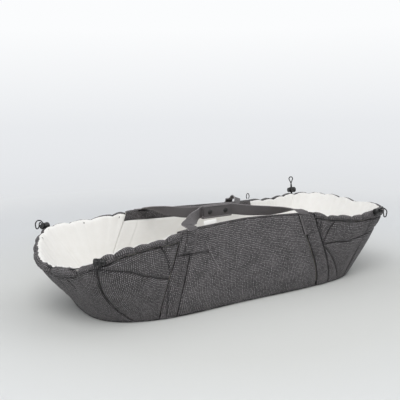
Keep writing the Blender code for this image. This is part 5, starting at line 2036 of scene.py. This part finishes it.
@dataclass
class Trims:
    """The bare label inside the near rim and the tied cord end at the far panel's corner."""

    label_x: float = -0.080
    label_size: tuple[float, float, float] = (32.0 * MM, 22.0 * MM, 0.7 * MM)
    sunk: float = 14.0 * MM
    loop_half: float = 5.2 * MM
    loop_height: float = 14.0 * MM

    def label(self) -> None:
        """A bare woven label that stands up inside the rim."""
        width, height, thick = self.label_size
        top, along, up, out = (np.array(v) for v in WALL.single(WALL.seam_at(self.label_x, Side.NEAR), 1.0))

        def place(u: Array, v: Array) -> Pair:
            """Points, and their flat coordinates."""
            curl = 4.0 * MM * v * v + 0.7 * MM * np.sin(u * 5.0) * v
            inside = (WALL_DEPTH + 0.5 * MM + curl)[:, None]
            rise = (height * v - self.sunk)[:, None]
            points = top - out * inside + up * rise + along * (width * (u - 0.5))[:, None]
            return points, np.stack([u * width, v * height], axis=1)

        piece = woven("care_label_tape", 24, 16, place, Finish.LABEL)
        thicken(piece, thick * 0.7, 1.0)
        settle(piece, "shell", "care_label")
        declare_sheet(piece, place, width, "hung", "near_facing_hem")

    def end_loop(self) -> None:
        """The tied cord end at the far panel's corner."""
        top, along, _, out = WALL.single(6.0, 1.0)
        foot = top - (out + along) * 3.0 * MM + Vector((0.0, 0.0, 1.6 * MM))
        points = []
        for i in range(13):
            turn = math.radians(-150.0 + 300.0 * i / 12)
            lift = Vector((0.0, 0.0, self.loop_height / 2 * (1 + math.cos(turn))))
            points.append(tuple(foot + along * self.loop_half * math.sin(turn) + lift))
        line = evenly(curve_through(np.array(points), 100), 0.5 * MM)
        length = float(run_along(line)[-1])
        piece = tube_along("cord_end_tie", line, 1.0 * MM, Finish.CORD, 10)
        settle(piece, "shell", "cord_end_loop")

    def build(self) -> None:
        """Makes both trims."""
        self.label()
        self.end_loop()


@dataclass
class Studio:
    """The pale floor, the soft lamps and the camera at the photograph's view."""

    focal_pixels: float = 655.3
    frame_pixels: int = 400
    azimuth: float = -30.508
    pitch: float = 9.955
    roll: float = -0.809
    stand: tuple[float, float, float] = (-0.759, -1.210, 0.446)
    floor_tone: str = "#d3d4d1"
    near_tone: str = "#dee0e1"
    painted_far_light_tone: str = "#e3e5e8"
    painted_top_light_tone: str = "#fbfcfd"
    floor_radius: float = 3.0
    wall_height: float = 2.6
    wall_bend: float = 0.5
    sky_strength: float = 0.68
    key_power: float = 31.0
    fill_power: float = 6.0

    def camera(self) -> None:
        """The camera, from its place, aim and roll."""
        turns = ((self.azimuth, "Z"), (90.0 - self.pitch, "X"), (self.roll, "Z"))
        place = Matrix.Translation(self.stand)
        for angle, axis in turns:
            place = place @ Matrix.Rotation(math.radians(angle), 4, axis)
        data = bpy.data.cameras.new("camera")
        data.sensor_width = 36.0
        data.lens = self.focal_pixels / self.frame_pixels * data.sensor_width
        made = bpy.data.objects.new("camera", data)
        made.matrix_world = place
        bpy.context.scene.collection.objects.link(made)
        bpy.context.scene.camera = made

    def lamp(self, name: str, place: tuple, size: float, power: float) -> None:
        """A square soft lamp that looks at the carrier.

        Args:
            name: The lamp's name.
            place: Where it stands.
            size: Length of its edge.
            power: Its power, in watts.
        """
        data = bpy.data.lights.new(name, "AREA")
        data.size, data.energy = size, power
        made = bpy.data.objects.new(name, data)
        aim = (Vector((0.0, 0.0, 0.1)) - Vector(place)).to_track_quat("-Z", "Y")
        made.matrix_world = Matrix.Translation(place) @ aim.to_matrix().to_4x4()
        bpy.context.scene.collection.objects.link(made)

    def backdrop(self) -> None:
        """A round floor that turns up into a wall far behind, with a painted gradient from grey to white
        outward and upward.
        """
        bend = self.wall_bend
        profile = [(0.0, 0.0), (1.0, 0.0), (2.0, 0.0), (self.floor_radius - bend, 0.0)]
        profile += [(self.floor_radius - bend + bend * math.sin(a), bend * (1 - math.cos(a)))
                    for a in np.linspace(0.1, math.pi / 2, 8)]
        profile.append((self.floor_radius, self.wall_height))
        bm = turned(profile, 96, MM)
        bmesh.ops.translate(bm, vec=(0.0, 0.0, -0.3 * MM), verts=bm.verts)
        stage = object_of(bm, "backdrop", 180.0)
        stage.data.materials.append(self.paper())
        stage.visible_shadow = False

    def paper(self) -> Material:
        """Matt background paper that the lamps light near the carrier; far off, a painted brightness
        gradient and a painted glow for camera and glossy rays take it to white.

        Returns:
            The new material.
        """
        made, node, shader = blank_material("background_paper")
        tree = shader.id_data
        place = node("TexCoord").outputs["Object"]
        split = node("SeparateXYZ", {0: place})
        flat = node("CombineXYZ", {"X": split.outputs["X"], "Y": split.outputs["Y"]})
        away = node("VectorMath", {0: flat}, operation="LENGTH")
        far = node("Math", {0: split.outputs["Z"], 1: 3.0, 2: away.outputs["Value"]},
                   operation="MULTIPLY_ADD")
        span = node("MapRange", {"Value": far, "From Min": 0.4, "From Max": 5.4})
        # The ramp paints the paper lighter with distance and height: painted light falloff.
        ramp = node("ValToRGB", {"Fac": span})
        stops = ((0.0, self.floor_tone), (0.09, self.near_tone), (0.30, self.painted_far_light_tone), (0.62, "#e9ebee"),
                 (1.0, self.painted_top_light_tone))
        while len(ramp.color_ramp.elements) < len(stops):
            ramp.color_ramp.elements.new(0.5)
        for element, (position, tone) in zip(ramp.color_ramp.elements, stops):
            element.position, element.color = position, linear(tone)
        tree.links.new(ramp.outputs[0], shader.inputs["Base Color"])
        shader.inputs["Roughness"].default_value = 1.0
        shader.inputs["Specular IOR Level"].default_value = 0.0
        # Painted glow: far paper seen by the camera or in reflections shines with the ramp's colour.
        glow = node("Emission", {"Color": ramp})
        blend = node("MapRange", {"Value": away.outputs["Value"], "From Min": 0.75, "From Max": 1.5},
                     interpolation_type="SMOOTHSTEP")
        rays = node("LightPath")
        seen = node("Math", {
            0: rays.outputs["Is Camera Ray"], 1: rays.outputs["Is Glossy Ray"]}, operation="MAXIMUM")
        share = node("Math", {0: blend, 1: seen}, operation="MULTIPLY")
        mix = node("MixShader", {0: share, 1: shader, 2: glow})
        output = tree.nodes["Material Output"]
        tree.links.new(mix.outputs[0], output.inputs["Surface"])
        return made

    def build(self) -> None:
        """Makes floor, light and camera."""
        scene = bpy.context.scene
        scene.view_settings.view_transform = "Standard"
        world = bpy.data.worlds.new("studio")
        scene.world = world
        world.use_nodes = True
        sky = world.node_tree.nodes["Background"]
        sky.inputs["Color"].default_value = linear("#fdfdff")
        sky.inputs["Strength"].default_value = self.sky_strength
        self.lamp("key", (-1.1, -1.3, 2.1), 1.6, self.key_power)
        self.lamp("fill", (1.6, -0.6, 1.8), 1.8, self.fill_power)
        self.backdrop()
        self.camera()


def main() -> None:
    logging.basicConfig(level=logging.INFO, format="%(message)s")
    Studio().build()
    GatheredEnd("foot", 2, (Lock("foot_near", 3.0, 60.0, 8.0 * MM, True),
                            Lock("foot_far", 5.0, 8.0, 10.0 * MM, False)), 11).build()
    GatheredEnd("head", 10, (Lock("head_far", 11.0, 50.0, 8.0 * MM, True),
                             Lock("head_near", 13.0, 60.0, 8.0 * MM, True)), 17).build()
    Shell().build()
    Inside().build()
    Facings().build()
    Handle(Side.NEAR, (-0.138, 0.140),
           ((-0.119, -0.087, 0.1755), (-0.094, -0.057, 0.1750), (-0.069, -0.028, 0.1735)),
           ((0.066, -0.020, 0.1680), (0.104, -0.050, 0.1680), (0.132, -0.086, 0.1735)), -0.0105).build()
    Handle(Side.FAR, (-0.132, 0.105),
           ((-0.128, 0.080, 0.1770), (-0.108, 0.044, 0.1760), (-0.082, 0.012, 0.1745)),
           ((0.050, 0.010, 0.1750), (0.076, 0.042, 0.1800), (0.099, 0.078, 0.1800)), -0.0025).build()
    GripWrap().build()
    Trims().build()


if __name__ == "__main__":
    main()
